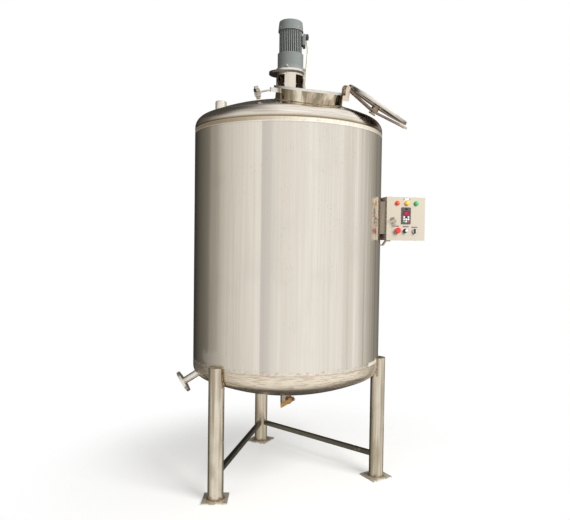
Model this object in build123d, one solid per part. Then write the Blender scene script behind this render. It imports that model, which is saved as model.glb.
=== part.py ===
from build123d import *
import math
import os

# Mixing tank on three legs, in millimetres. The origin is on the tank's axis at floor level,
# +Z is up and -Y is the front.

# Shell and dished ends
shell_radius = 650.0
plate_thickness = 4.0
shell_bottom_z = 820.0
shell_height = 1560.0
dish_depth = 200.0
knuckle_radius = 75.0
top_flange = 15.0
bottom_flange = 38.0

# Legs, foot plates and the two braces between them
leg_radius = 50.0
leg_cap_rise = 18.0
first_leg_angle = 228.0
foot_side = 160.0
foot_thickness = 10.0
foot_hole_radius = 7.0
foot_hole_pitch = 120.0
brace_side = 30.0
brace_z = 155.0

# Manhole on the top dish
manhole_angle = -72.0
manhole_inset = 258.0
neck_radius = 215.0
neck_wall = 5.0
neck_height = 66.0
neck_inside = 30.0
rim_overhang = 15.0
rim_thickness = 14.0
rim_width = 26.0

# Lid and its gasket
lid_band_height = 20.0
lid_band_wall = 4.0
lid_crown = 14.0
lid_plate = 3.0
gasket_thickness = 5.0
gasket_width = 16.0
gasket_inset = 8.0
seat_thickness = 3.0
seat_width = 24.0
stud_radius = 9.0
stud_above_strap = 22.0
rock_pin_radius = 3.0
rock_pin_length = 46.0
collar_radius = 26.0
collar_gap = 6.0
stud_nut_radius = 24.0
stud_nut_height = 10.0
stud_nut_gap = 5.0

# Strap and hinge of the lid; the lid stands open as far as the hinge lets it
lid_lean = 8.0
open_angle = 205.0
strap_width = 50.0
strap_thickness = 12.0
strap_rise = 30.0
strap_eye_radius = 14.0
stud_clearance = 6.0
fork_depth = 22.0
hinge_offset = 20.0
hinge_height = 36.0
hinge_pin_radius = 7.0
hinge_ear_radius = 13.0
hinge_ear_thickness = 8.0
hinge_ear_gap = 2.0
pin_overhang = 3.0
hinge_plate_drop = 34.0
hinge_plate_height = 30.0

# Swing bolt with its star knob
bolt_radius = 5.0
bolt_length = 112.0
bolt_pin_drop = 28.0
bolt_pin_radius = 5.0
bolt_eye_radius = 11.0
bolt_fork_gap = 8.0
bolt_swing = 107.0
clamp_ear_height = 26.0
clamp_ear_thickness = 8.0
clamp_ear_overhang = 9.0
clamp_ear_gap = 1.3
knob_radius = 40.0
knob_height = 24.0
knob_lobes = 6
knob_lobe_radius = 11.0
knob_hub_radius = 15.0
knob_hub_height = 9.0
knob_edge = 3.0
knob_gap = 5.0

# Lantern of the agitator drive, on the pole of the top dish
lantern_radius = 98.0
lantern_wall = 10.0
lantern_height = 200.0
window_sill = 50.0
window_header = 12.0
window_angle = 44.0
base_plate_thickness = 16.0
lobe_radius = 83.0
lobe_reach = 67.0
lobe_angle = 193.0
ring_radius = 101.0
ring_thickness = 15.0

# Gear unit and motor
gearbox_radius = 90.0
gearbox_height = 114.0
gearbox_foot_radius = 96.0
gearbox_foot_thickness = 12.0
stator_radius = 80.0
fin_depth = 8.0
fin_thickness = 4.0
fin_count = 36
stator_height = 168.0
cowl_radius = 88.0
cowl_shoulder_radius = 82.0
cowl_edge = 10.0
cowl_height = 70.0
cowl_overlap = 12.0
cowl_wall = 3.0
cowl_air_gap = 6.0
cowl_boss_radius = 40.0
terminal_box_rise = 97.0
terminal_box_width = 88.0
terminal_box_height = 76.0
terminal_box_depth = 18.0
terminal_neck_depth = 6.0
terminal_neck_inset = 8.0

# Shaft, coupling, seal and impeller
shaft_radius = 20.0
shaft_gap = 8.0
shaft_bottom_rise = 80.0
shaft_end_gap = 1.0
coupling_radius = 42.0
coupling_height = 96.0
seal_radius = 58.0
seal_height = 28.0
impeller_radius = 210.0
impeller_rise = 60.0
impeller_hub_radius = 38.0
impeller_hub_height = 80.0
impeller_blade_height = 60.0
impeller_blade_thickness = 6.0
impeller_tilt = 45.0

# Socket on the top dish
socket_radius = 39.0
socket_bore_radius = 29.0
socket_angle = 180.0
socket_inset = 170.0
socket_height = 88.0
socket_inside = 30.0
socket_chamfer = 5.0

# Side drain at the knuckle
drain_angle = 190.0
drain_slope = 31.5
drain_root_inset = 65.0
drain_root_drop = 79.0
drain_length = 160.0
drain_pipe_radius = 24.15
drain_bore_radius = 21.0
drain_inside = 10.0
drain_flange_radius = 75.0
drain_flange_thickness = 18.0
drain_bolt_circle = 110.0
drain_bolt_hole_radius = 9.0

# Outlet with its ball valve
outlet_pipe_radius = 24.15
outlet_bore_radius = 21.0
outlet_length = 20.0
valve_radius = 39.0
valve_height = 84.0
valve_groove = 3.0
valve_groove_drop = 16.0
valve_socket_depth = 16.0
valve_edge = 4.0
valve_stem_angle = -45.0
bonnet_radius = 16.0
bonnet_reach = 60.0
stem_radius = 7.0
stem_reach = 88.0
stem_nut_radius = 11.0
stem_nut_height = 9.0
lever_gap = 5.0
lever_length = 120.0
lever_tail = 12.0
lever_width = 30.0
lever_thickness = 7.0
lever_droop = 12.0

# Control box at the right side of the shell, with its mounting plate and strut
box_width = 280.0
box_height = 300.0
box_depth = 140.0
box_wall = 2.0
box_turn = 9.0
box_standoff = 28.0
box_front_y = -139.0
box_rise = 832.0
door_thickness = 14.0
door_gap = 1.0
mount_plate_y = -100.0
mount_plate_thickness = 4.0
mount_plate_height = 226.0
mount_plate_rise = 155.0
strut_y = -90.0
strut_width = 40.0
strut_thickness = 9.0
strut_drop = 30.0
strut_run = 40.0
strut_foot = 34.0

# Parts on the door, each with its place from the door's lower left corner
lamp_radius = 16.0
lamp_bezel_height = 4.0
lamp_height = 15.0
lamp_edge = 5.0
lamp_z = 258.0
lamp_places = (("lamp_red", 76.0), ("lamp_yellow", 145.0), ("lamp_green", 213.0))
keypad_place = (140.0, 172.0)
keypad_size = (66.0, 114.0, 6.0)
keypad_corner = 3.0
lock_place = (40.0, 150.0)
lock_radius = 11.0
lock_height = 8.0
stop_place = (77.0, 68.0)
stop_radius = 20.0
stop_cap_height = 12.0
stop_edge = 4.0
stop_stem_radius = 10.0
stop_base_radius = 16.0
stop_base_height = 10.0
stop_travel = 4.0
speed_place = (135.0, 66.0)
speed_knob_radius = 17.0
speed_knob_height = 18.0
speed_knob_taper = 3.0
selector_place = (203.0, 65.0)
selector_radius = 16.0
selector_base_height = 8.0
selector_handle = (9.0, 30.0, 12.0)

# Motor cable and its two glands
cable_radius = 8.0
gland_radius = 10.0
gland_height = 36.0
gland_block = 10.5
cable_lift = 9.0
cable_dish_lift = 12.0
cable_exit = 28.0
cable_entry = 67.0
cable_bend = 0.45
box_gland_radius = 14.0
box_gland_length = 26.0
box_gland_place = (110.0, 150.0)

# Corners of the cable: x, y and drop from the upper gland; x off the lantern, y and drop; x off the
# lantern, y and height over the dish's pole; reach and angle on the dish; angle and drop down the
# shell; and x, y and z from the lower gland
cable_slack = ((8, -2, 62), (6, -2, 108), (2, -1, 165))
cable_beside = ((14, -2, 226), (10, -1, 290), (12, 2, 350))
cable_foot = ((24, 8, 48), (62, 24, 19))
cable_over = ((235, 13), (330, 16), (440, 18), (545, 19))
cable_down = ((19.2, 60), (18.4, 200), (18.1, 340), (17.5, 440))
cable_outside = ((-112, 150, 32), (-66, 134, 4))

# Clearance at pins and turning parts
running_gap = 0.3

shell_top_z = shell_bottom_z + shell_height
dish_pole_z = shell_top_z + top_flange + dish_depth
sump_z = shell_bottom_z - bottom_flange - dish_depth
lantern_top_z = dish_pole_z + lantern_height
gearbox_bottom_z = lantern_top_z + base_plate_thickness + ring_thickness
gearbox_top_z = gearbox_bottom_z + gearbox_height
stator_top_z = gearbox_top_z + stator_height
valve_top_z = sump_z - outlet_length
valve_middle_z = valve_top_z - valve_height / 2
rim_radius = neck_radius + rim_overhang
lid_radius = rim_radius
hinge_reach = rim_radius + hinge_offset
hinge_pin_z = neck_height + hinge_height
bolt_pin_z = neck_height - bolt_pin_drop
box_bottom_z = shell_bottom_z + box_rise


def polar(radius, angle):
    """Plan position at a radius and an angle in degrees."""
    return radius * math.cos(math.radians(angle)), radius * math.sin(math.radians(angle))


def crown_radius():
    """Radius of the dish's spherical crown, from its depth and its knuckle."""
    side = shell_radius - knuckle_radius
    return (side ** 2 - knuckle_radius ** 2 + dish_depth ** 2) / (2 * (dish_depth - knuckle_radius))


def dish_face(offset, flange):
    """Half section of a dished end, offset inwards from the outer face, with its straight flange."""
    crown = crown_radius()
    crown_z = flange + dish_depth - crown
    side = shell_radius - knuckle_radius
    tangent = math.atan2(flange - crown_z, side)
    knuckle = knuckle_radius - offset
    tip = (side + knuckle * math.cos(tangent), flange + knuckle * math.sin(tangent))
    middle = (side + knuckle * math.cos(tangent / 2), flange + knuckle * math.sin(tangent / 2))
    half = (tangent + math.pi / 2) / 2
    crown_middle = ((crown - offset) * math.cos(half), crown_z + (crown - offset) * math.sin(half))
    start = (shell_radius - offset, flange)
    pole = (0, crown_z + crown - offset)
    edges = [
        Line((0, 0), (shell_radius - offset, 0)),
        Line((shell_radius - offset, 0), start),
        ThreePointArc(start, middle, tip),
        ThreePointArc(tip, crown_middle, pole),
        Line(pole, (0, 0)),
    ]
    return Plane.XZ * make_face(Curve() + edges)


def dish_solid(offset, flange):
    """Dished end filled solid, standing on the XY plane."""
    return revolve(dish_face(offset, flange), Axis.Z)


def dish_shell(flange):
    """Dished end as a pressed plate, open at its flange."""
    dish = dish_solid(0, flange) - dish_solid(plate_thickness, flange)
    return dish - upright(shell_radius - plate_thickness, -1, 1)


def tank_envelope():
    """Everything inside the tank's outer faces."""
    body = upright(shell_radius, shell_bottom_z, shell_top_z)
    top = Pos(0, 0, shell_top_z) * dish_solid(0, top_flange)
    bottom = Pos(0, 0, shell_bottom_z) * Rot(180, 0, 0) * dish_solid(0, bottom_flange)
    return body + top + bottom


def dish_height(reach):
    """Height of the top dish's outer face at a distance from the axis, on its crown."""
    crown = crown_radius()
    return dish_pole_z - crown + math.sqrt(crown ** 2 - reach ** 2)


def manhole_plane():
    """Plane on the top dish at the manhole: +Z outwards, +X along the level line to the hinge."""
    reach = shell_radius - manhole_inset
    crown_centre = Vector(0, 0, dish_pole_z - crown_radius())
    point = Vector(*polar(reach, manhole_angle), dish_height(reach))
    along = Vector(*polar(1, manhole_angle + 90), 0)
    return Plane(origin=point, x_dir=along, z_dir=(point - crown_centre).normalized())


def upright(radius, z_low, z_high):
    """Cylinder on the local Z axis between two heights."""
    return Pos(0, 0, z_low) * Cylinder(
        radius, z_high - z_low, align=(Align.CENTER, Align.CENTER, Align.MIN))


def ring(outer, inner, z_low, z_high):
    """Ring on the local Z axis between two heights."""
    return upright(outer, z_low, z_high) - upright(inner, z_low - 1, z_high + 1)


def turned(points):
    """Solid of revolution about the local Z axis, from the corners of its half section."""
    return revolve(Plane.XZ * make_face(Curve() + Polyline(*points, points[0])), Axis.Z)


def pin(x, z, radius, length):
    """Level pin across the manhole's plane, its middle at the given place."""
    return Pos(x, 0, z) * Rot(90, 0, 0) * Cylinder(radius, length)


def leg_angles():
    """Angle of each leg: front left, right and back."""
    return [first_leg_angle + 120 * i for i in range(3)]


def half_shell(front):
    """One of the two rolled plates of the shell; their seams are at the left and the right."""
    side = shell_radius * 3
    tube = ring(shell_radius, shell_radius - plate_thickness, shell_bottom_z, shell_top_z)
    half = Box(side, side, 4 * shell_top_z,
               align=(Align.CENTER, Align.MAX if front else Align.MIN, Align.CENTER))
    return tube & half


def top_head():
    """Upper dished end with its openings for the manhole, the agitator shaft and the socket."""
    dish = Pos(0, 0, shell_top_z) * dish_shell(top_flange)
    dish -= manhole_plane() * upright(neck_radius, -dish_depth / 2, dish_depth / 2)
    dish -= upright(shaft_radius + shaft_gap, shell_top_z, lantern_top_z)
    place = Pos(*polar(shell_radius - socket_inset, socket_angle), 0)
    dish -= place * upright(socket_radius, shell_top_z, lantern_top_z)
    return dish


def bottom_head():
    """Lower dished end with its openings for the outlet and the side drain."""
    dish = Pos(0, 0, shell_bottom_z) * Rot(180, 0, 0) * dish_shell(bottom_flange)
    dish -= upright(outlet_pipe_radius, valve_top_z, shell_bottom_z)
    dish -= drain_plane() * upright(drain_pipe_radius, -drain_length / 2, drain_length)
    return dish


def leg(angle, envelope):
    """Pipe leg with a flat cap, coped to the tank's side and knuckle."""
    place = Pos(*polar(shell_radius, angle), 0)
    coped = place * upright(leg_radius, foot_thickness, shell_bottom_z + leg_cap_rise) - envelope
    return max(coped.solids(), key=lambda piece: piece.volume)


def foot_plate(angle):
    """Square foot plate with four bolt holes."""
    plate = Box(foot_side, foot_side, foot_thickness, align=(Align.CENTER, Align.CENTER, Align.MIN))
    half = foot_hole_pitch / 2
    for x in (-half, half):
        for y in (-half, half):
            plate -= Pos(x, y, 0) * upright(foot_hole_radius, -1, foot_thickness + 1)
    return Pos(*polar(shell_radius, angle), 0) * Rot(0, 0, angle - first_leg_angle) * plate


def brace(angle_a, angle_b):
    """Square tube brace between two legs, coped to them."""
    ax, ay = polar(shell_radius, angle_a)
    bx, by = polar(shell_radius, angle_b)
    length = math.hypot(bx - ax, by - ay)
    turn = math.degrees(math.atan2(by - ay, bx - ax))
    bar = Pos((ax + bx) / 2, (ay + by) / 2, brace_z) * Rot(0, 0, turn) * Box(length, brace_side, brace_side)
    for x, y in ((ax, ay), (bx, by)):
        bar -= Pos(x, y, 0) * upright(leg_radius, 0, shell_bottom_z)
    return bar


def manhole_neck():
    """Neck of the manhole through the dish, in the manhole's plane."""
    return ring(neck_radius, neck_radius - neck_wall, -neck_inside, neck_height - rim_thickness)


def manhole_rim():
    """Flat rim on the neck, where the lid's gasket seats."""
    return ring(rim_radius, rim_radius - rim_width, neck_height - rim_thickness, neck_height)


def lid_hinge():
    """Two ears of the lid's hinge, joined by a plate welded to the neck, with the pin through them."""
    rim_low = neck_height - rim_thickness
    low = rim_low - hinge_plate_drop
    inner = (rim_radius + hinge_reach - hinge_ear_radius) / 2
    outer = hinge_reach + hinge_ear_radius
    reach = strap_width / 2 + hinge_ear_gap
    outline = Plane.XZ * make_face(Curve() + Polyline(
        (neck_radius - neck_wall, low), (outer, low), (outer, hinge_pin_z), (inner, hinge_pin_z),
        (inner, rim_low), (neck_radius - neck_wall, rim_low), (neck_radius - neck_wall, low)))
    ear = extrude(outline, hinge_ear_thickness / 2, both=True)
    ear += pin(hinge_reach, hinge_pin_z, hinge_ear_radius, hinge_ear_thickness)
    middle = reach + hinge_ear_thickness / 2
    plate = Pos(neck_radius - neck_wall, 0, low) * Box(
        outer - neck_radius + neck_wall, 2 * reach, hinge_plate_height,
        align=(Align.MIN, Align.CENTER, Align.MIN))
    hinge = Pos(0, middle, 0) * ear + Pos(0, -middle, 0) * ear + plate
    hinge += pin(hinge_reach, hinge_pin_z, hinge_pin_radius, 2 * (reach + hinge_ear_thickness + pin_overhang))
    return hinge - upright(neck_radius, low - 1, rim_low + 1)


def strap_middle_z():
    """Height of the strap's middle over the manhole's plane, lid shut."""
    return hinge_pin_z + strap_rise


def rock_pin(radius, length):
    """Pin through the lid's stud along the strap, on which the lid rocks."""
    return Pos(0, 0, strap_middle_z()) * Rot(0, 90, 0) * Cylinder(radius, length)


def strap():
    """Cranked flat strap over the lid, from the hinge eye to the fork for the swing bolt, lid shut."""
    middle = strap_middle_z()
    fork_end = -(hinge_reach + fork_depth)
    half = strap_thickness / 2
    outline = Plane.XZ * make_face(Curve() + Polyline(
        (hinge_reach, hinge_pin_z - half), (hinge_reach, hinge_pin_z + half), (0, middle + half),
        (-hinge_reach, hinge_pin_z + half), (fork_end, hinge_pin_z + half), (fork_end, hinge_pin_z - half),
        (-hinge_reach, hinge_pin_z - half), (0, middle - half), (hinge_reach, hinge_pin_z - half)))
    bar = extrude(outline, strap_width / 2, both=True)
    bar += pin(hinge_reach, hinge_pin_z, strap_eye_radius, strap_width)
    bar -= pin(hinge_reach, hinge_pin_z, hinge_pin_radius + running_gap, strap_width + 2)
    bar -= upright(stud_radius + stud_clearance, neck_height, middle + strap_rise)
    bar -= rock_pin(rock_pin_radius + running_gap, rock_pin_length + 2 * running_gap)
    slot_half = bolt_radius + bolt_fork_gap
    slot = Box(hinge_reach, 2 * slot_half, 4 * strap_thickness, align=(Align.MAX, Align.CENTER, Align.CENTER))
    slot += upright(slot_half, -2 * strap_thickness, 2 * strap_thickness)
    return bar - Pos(-hinge_reach, 0, hinge_pin_z) * slot


def lid():
    """Dished lid with its rolled band, its seat for the gasket, and its stud with collar and nut."""
    low = neck_height + gasket_thickness
    shoulder = low + lid_band_height
    crown = (lid_radius ** 2 + lid_crown ** 2) / (2 * lid_crown)
    top = shoulder + lid_crown
    inner = lid_radius - lid_band_wall
    half_z = top - crown + math.sqrt(crown ** 2 - (lid_radius / 2) ** 2)
    outline = Plane.XZ * make_face(Curve() + [
        Line((inner, low), (lid_radius, low)),
        Line((lid_radius, low), (lid_radius, shoulder)),
        ThreePointArc((lid_radius, shoulder), (lid_radius / 2, half_z), (0, top)),
        Line((0, top), (0, top - lid_plate)),
        ThreePointArc((0, top - lid_plate), (inner / 2, half_z - lid_plate), (inner, shoulder - lid_plate)),
        Line((inner, shoulder - lid_plate), (inner, low)),
    ])
    disc = revolve(outline, Axis.Z)
    middle = strap_middle_z()
    strap_low = middle - strap_thickness / 2
    nut_low = middle + strap_thickness / 2 + stud_nut_gap
    stud = upright(stud_radius, top - lid_plate, middle + stud_above_strap)
    collar = upright(collar_radius, top - lid_plate, strap_low - collar_gap)
    nut = upright(stud_nut_radius, nut_low, nut_low + stud_nut_height)
    seat = ring(inner, inner - seat_width, low, low + seat_thickness)
    return disc + stud + collar + nut + seat + rock_pin(rock_pin_radius, rock_pin_length)


def gasket():
    """Rubber ring under the lid's band, lid shut."""
    outer = lid_radius - gasket_inset
    return ring(outer, outer - gasket_width, neck_height + running_gap, neck_height + gasket_thickness)


def clamp_ears():
    """Two ears on the neck that carry the swing bolt, with their pin."""
    middle = bolt_radius + clamp_ear_gap + clamp_ear_thickness / 2
    ear = Pos(neck_wall - neck_radius, 0, bolt_pin_z) * Box(
        hinge_reach + clamp_ear_overhang - neck_radius + neck_wall, clamp_ear_thickness, clamp_ear_height,
        align=(Align.MAX, Align.CENTER, Align.CENTER))
    ears = Pos(0, middle, 0) * ear + Pos(0, -middle, 0) * ear
    ears -= upright(neck_radius, 0, neck_height)
    length = 2 * (middle + clamp_ear_thickness / 2 + pin_overhang)
    return ears + pin(-hinge_reach, bolt_pin_z, bolt_pin_radius, length)


def swing_bolt():
    """Eye bolt that swings up into the strap's fork, drawn upright."""
    eye = pin(-hinge_reach, bolt_pin_z, bolt_eye_radius, 2 * bolt_radius + 2)
    rod = Pos(-hinge_reach, 0, bolt_pin_z) * upright(bolt_radius, bolt_eye_radius - 2, bolt_length)
    bore = pin(-hinge_reach, bolt_pin_z, bolt_pin_radius + running_gap, 4 * bolt_radius)
    return eye + rod - bore


def star_knob():
    """Polished hand knob with lobes on the swing bolt, drawn upright."""
    base = hinge_pin_z + strap_thickness / 2 + knob_gap + knob_hub_height
    reach = knob_radius - knob_lobe_radius
    outline = Circle(reach)
    for i in range(knob_lobes):
        outline += Pos(*polar(reach, 360 / knob_lobes * i)) * Circle(knob_lobe_radius)
    outline = fillet(outline.vertices(), knob_edge)
    knob = Pos(0, 0, base) * extrude(outline, knob_height)
    knob = chamfer(knob.faces().sort_by(Axis.Z)[-1].edges(), knob_edge)
    knob += upright(knob_hub_radius, base - knob_hub_height, base + knob_edge)
    knob -= upright(bolt_radius + running_gap, base - knob_hub_height - 1, base + knob_height + 1)
    return Pos(-hinge_reach, 0, 0) * knob


def bolt_down(shape):
    """Swings the bolt and its knob from upright down to rest."""
    place = Pos(-hinge_reach, 0, bolt_pin_z)
    return place * Rot(0, -bolt_swing, 0) * place.inverse() * shape


def lid_open(shape):
    """Turns the strap from shut to open about the hinge pin."""
    place = Pos(hinge_reach, 0, hinge_pin_z)
    return place * Rot(0, open_angle, 0) * place.inverse() * shape


def lid_leaned(shape):
    """Rocks the lid on its stud about the strap's length, then opens it with the strap."""
    stud = Pos(0, 0, strap_middle_z())
    return lid_open(stud * Rot(-lid_lean, 0, 0) * stud.inverse() * shape)


def lantern():
    """Pedestal of the drive, a tube on the dish with four windows."""
    tube = ring(lantern_radius, lantern_radius - lantern_wall, shell_top_z + top_flange, lantern_top_z)
    tube -= Pos(0, 0, shell_top_z) * dish_solid(0, top_flange)
    sill = dish_pole_z + window_sill
    head = lantern_top_z - window_header
    width = 2 * lantern_radius * math.sin(math.radians(window_angle / 2))
    for i in range(4):
        window = Pos(lantern_radius, 0, sill) * Box(
            lantern_radius, width, head - sill, align=(Align.CENTER, Align.CENTER, Align.MIN))
        tube -= Rot(0, 0, 45 + 90 * i) * window
    return tube


def shaft_seal():
    """Seal housing on the dish around the shaft."""
    seal = ring(seal_radius, shaft_radius + running_gap, shell_top_z + top_flange, dish_pole_z + seal_height)
    return seal - Pos(0, 0, shell_top_z) * dish_solid(0, top_flange)


def drive_plate():
    """Base plate of the drive on the lantern, a disc drawn out into a round lobe on one side."""
    lobe = Pos(*polar(lobe_reach, lobe_angle)) * Circle(lobe_radius)
    outline = make_hull(Circle(lantern_radius).edges() + lobe.edges())
    plate = Pos(0, 0, lantern_top_z) * extrude(outline, base_plate_thickness)
    return plate - upright(shaft_radius + shaft_gap, lantern_top_z - 1, gearbox_bottom_z)


def flange_ring():
    """Machined ring between the base plate and the gear unit."""
    return ring(ring_radius, shaft_radius + shaft_gap, lantern_top_z + base_plate_thickness, gearbox_bottom_z)


def gearbox():
    """Round gear unit on its foot flange."""
    foot = upright(gearbox_foot_radius, gearbox_bottom_z, gearbox_bottom_z + gearbox_foot_thickness)
    body = upright(gearbox_radius, gearbox_bottom_z, gearbox_top_z)
    return foot + body


def stator():
    """Motor body with cooling fins along it."""
    body = upright(stator_radius - fin_depth, gearbox_top_z, stator_top_z)
    fin = Pos(0, 0, gearbox_top_z) * Box(
        stator_radius, fin_thickness, stator_height, align=(Align.MIN, Align.CENTER, Align.MIN))
    fins = [Rot(0, 0, 360 / fin_count * (i + 0.5)) * fin for i in range(fin_count)]
    return body.fuse(*fins)


def fan_cowl():
    """Fan cowl over the motor's end, round at its shoulder, with an air gap inside its skirt."""
    low = stator_top_z - cowl_overlap
    top = low + cowl_height
    inside = stator_top_z + cowl_air_gap
    skirt = cowl_radius - cowl_wall
    corner = math.sqrt(0.5) * cowl_edge
    shoulder = (cowl_shoulder_radius - cowl_edge, top - cowl_edge)
    outline = Plane.XZ * make_face(Curve() + [
        Line((0, inside), (skirt, inside)),
        Line((skirt, inside), (skirt, low)),
        Line((skirt, low), (cowl_radius, low)),
        Line((cowl_radius, low), (cowl_shoulder_radius, top - cowl_edge)),
        ThreePointArc((cowl_shoulder_radius, top - cowl_edge),
                      (shoulder[0] + corner, shoulder[1] + corner), (shoulder[0], top)),
        Line((shoulder[0], top), (0, top)),
        Line((0, top), (0, inside)),
    ])
    return revolve(outline, Axis.Z) + upright(cowl_boss_radius, stator_top_z, inside + 1)


def terminal_box():
    """Terminal box on its neck at the right of the motor."""
    middle = gearbox_top_z + terminal_box_rise
    face = stator_radius + terminal_neck_depth
    neck = Pos(stator_radius, 0, middle) * Box(
        terminal_neck_depth, terminal_box_width - 2 * terminal_neck_inset,
        terminal_box_height - 2 * terminal_neck_inset, align=(Align.MIN, Align.CENTER, Align.CENTER))
    box = Pos(face, 0, middle) * Box(
        terminal_box_depth, terminal_box_width, terminal_box_height,
        align=(Align.MIN, Align.CENTER, Align.CENTER))
    return neck + chamfer(box.faces().sort_by(Axis.X)[-1].edges(), 2)


def gland_place():
    """Top of the upright cable gland, on the outer face of the terminal box."""
    x = stator_radius + terminal_neck_depth + terminal_box_depth + gland_block
    return Pos(x, 0, gearbox_top_z + terminal_box_rise + terminal_box_height / 2 + gland_block)


def cable_gland():
    """Angled gland that turns the cable down beside the terminal box."""
    body = upright(gland_radius, -gland_height, 0)
    block = Pos(-gland_block, 0, -gland_radius) * Box(
        gland_block, 2 * gland_radius, 2 * gland_radius, align=(Align.MIN, Align.CENTER, Align.MAX))
    return gland_place() * (body + block)


def agitator_shaft():
    """Shaft from the gear unit down into the tank, with its coupling in the lantern."""
    shaft = upright(shaft_radius, shell_bottom_z + shaft_bottom_rise, gearbox_bottom_z - shaft_end_gap)
    middle = (dish_pole_z + window_sill + lantern_top_z - window_header) / 2
    return shaft + upright(coupling_radius, middle - coupling_height / 2, middle + coupling_height / 2)


def impeller():
    """Four pitched blades on a hub near the shaft's end."""
    middle = shell_bottom_z + shaft_bottom_rise + impeller_rise
    half = impeller_hub_height / 2
    wheel = upright(impeller_hub_radius, middle - half, middle + half)
    blade = Pos(0, 0, middle) * Rot(impeller_tilt, 0, 0) * Box(
        impeller_radius, impeller_blade_thickness, impeller_blade_height,
        align=(Align.MIN, Align.CENTER, Align.CENTER))
    for i in range(4):
        wheel += Rot(0, 0, 90 * i) * blade
    return wheel - upright(shaft_radius, middle - impeller_hub_height, middle + impeller_hub_height)


def top_socket():
    """Screwed socket for a fitting on the top dish, chamfered at its top."""
    reach = shell_radius - socket_inset
    low = dish_height(reach) - socket_inside
    top = dish_height(reach) + socket_height
    socket = turned([
        (socket_bore_radius, low), (socket_radius, low), (socket_radius, top - socket_chamfer),
        (socket_radius - socket_chamfer, top), (socket_bore_radius, top)])
    return Pos(*polar(reach, socket_angle), 0) * socket


def drain_plane():
    """Plane of the side drain: +Z runs down and outwards along its pipe from the knuckle."""
    x, y = polar(shell_radius - drain_root_inset, drain_angle)
    out = polar(math.cos(math.radians(drain_slope)), drain_angle)
    return Plane(origin=(x, y, shell_bottom_z - drain_root_drop),
                 z_dir=(*out, -math.sin(math.radians(drain_slope))), x_dir=(*polar(1, drain_angle + 90), 0))


def drain_nozzle():
    """Side drain: a short pipe through the knuckle with a bolted flange on its end."""
    pipe = upright(drain_pipe_radius, -drain_inside, drain_length)
    flange = upright(drain_flange_radius, drain_length - drain_flange_thickness, drain_length)
    for i in range(4):
        place = Pos(*polar(drain_bolt_circle / 2, 45 + 90 * i), 0)
        flange -= place * upright(drain_bolt_hole_radius, 0, drain_length + 1)
    return drain_plane() * (pipe + flange - upright(drain_bore_radius, -2 * drain_inside, drain_length + 1))


def outlet_pipe():
    """Pipe stub from the bottom dish down to the valve."""
    return ring(outlet_pipe_radius, outlet_bore_radius, valve_top_z, sump_z + 2 * plate_thickness)


def stem_place(reach):
    """Place on the valve's stem, +Z pointing out along it."""
    return Pos(0, 0, valve_middle_z) * Rot(0, 0, valve_stem_angle) * Rot(0, 90, 0) * Pos(0, 0, reach)


def valve_body():
    """Ball valve shut across the outlet: round body with a groove, a socket each end and a bonnet."""
    low = -valve_height / 2
    high = valve_height / 2
    groove = high - valve_groove_drop
    inner = valve_radius - valve_groove
    body = turned([
        (0, low + valve_socket_depth), (outlet_pipe_radius, low + valve_socket_depth),
        (outlet_pipe_radius, low), (valve_radius - valve_edge, low), (valve_radius, low + valve_edge),
        (valve_radius, groove - valve_groove), (inner, groove - valve_groove), (inner, groove),
        (valve_radius, groove), (valve_radius, high), (outlet_bore_radius, high),
        (outlet_bore_radius, high - valve_socket_depth), (0, high - valve_socket_depth)])
    body = Pos(0, 0, valve_middle_z) * body
    body += stem_place(0) * upright(bonnet_radius, 0, bonnet_reach)
    return body - stem_place(0) * upright(stem_radius + running_gap, valve_radius / 2, stem_reach)


def valve_lever():
    """Stem with its flat lever and nut; the lever lies across the pipe when shut."""
    plate_low = bonnet_reach + lever_gap
    stem = upright(stem_radius, valve_radius / 2 + running_gap, stem_reach)
    plate = Rot(0, 0, lever_droop) * Pos(0, lever_tail, plate_low) * Box(
        lever_width, lever_length + lever_tail, lever_thickness, align=(Align.CENTER, Align.MAX, Align.MIN))
    nut_height = lever_thickness + stem_nut_height
    nut = Pos(0, 0, plate_low) * extrude(RegularPolygon(stem_nut_radius, 6), nut_height)
    return stem_place(0) * (stem + plate + nut)


def box_place():
    """Place of the control box: origin at its door's lower left corner, +X along the door."""
    return Pos(shell_radius + box_standoff, box_front_y, box_bottom_z) * Rot(0, 0, box_turn)


def box_block(depth):
    """Block of the control box's outline, from its door's front to a depth."""
    return Box(box_width, depth, box_height, align=(Align.MIN, Align.MIN, Align.MIN))


def tray(depth):
    """Folded steel tray of the control box's outline, open towards +Y."""
    inner = Pos(box_wall, box_wall, box_wall) * Box(
        box_width - 2 * box_wall, depth, box_height - 2 * box_wall, align=(Align.MIN, Align.MIN, Align.MIN))
    return box_block(depth) - inner


def control_box():
    """Steel housing behind the door, open towards it."""
    depth = box_depth - door_thickness - door_gap
    place = box_place() * Pos(box_width, box_depth, 0) * Rot(0, 0, 180)
    gland_hole = box_gland() * upright(box_gland_radius - box_wall, -2 * box_wall, box_wall)
    return place * tray(depth) - gland_hole


def box_door():
    """Door of the control box, a shallow tray with its edges folded back."""
    return box_place() * tray(door_thickness)


def mount_plate():
    """Upright plate that joins the control box's side to the shell."""
    plate = Pos(0, mount_plate_y, box_bottom_z + mount_plate_rise) * Box(
        shell_radius + box_standoff, mount_plate_thickness, mount_plate_height,
        align=(Align.MIN, Align.CENTER, Align.CENTER))
    plate -= upright(shell_radius, shell_bottom_z, shell_top_z)
    return plate - box_place() * box_block(box_depth)


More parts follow.
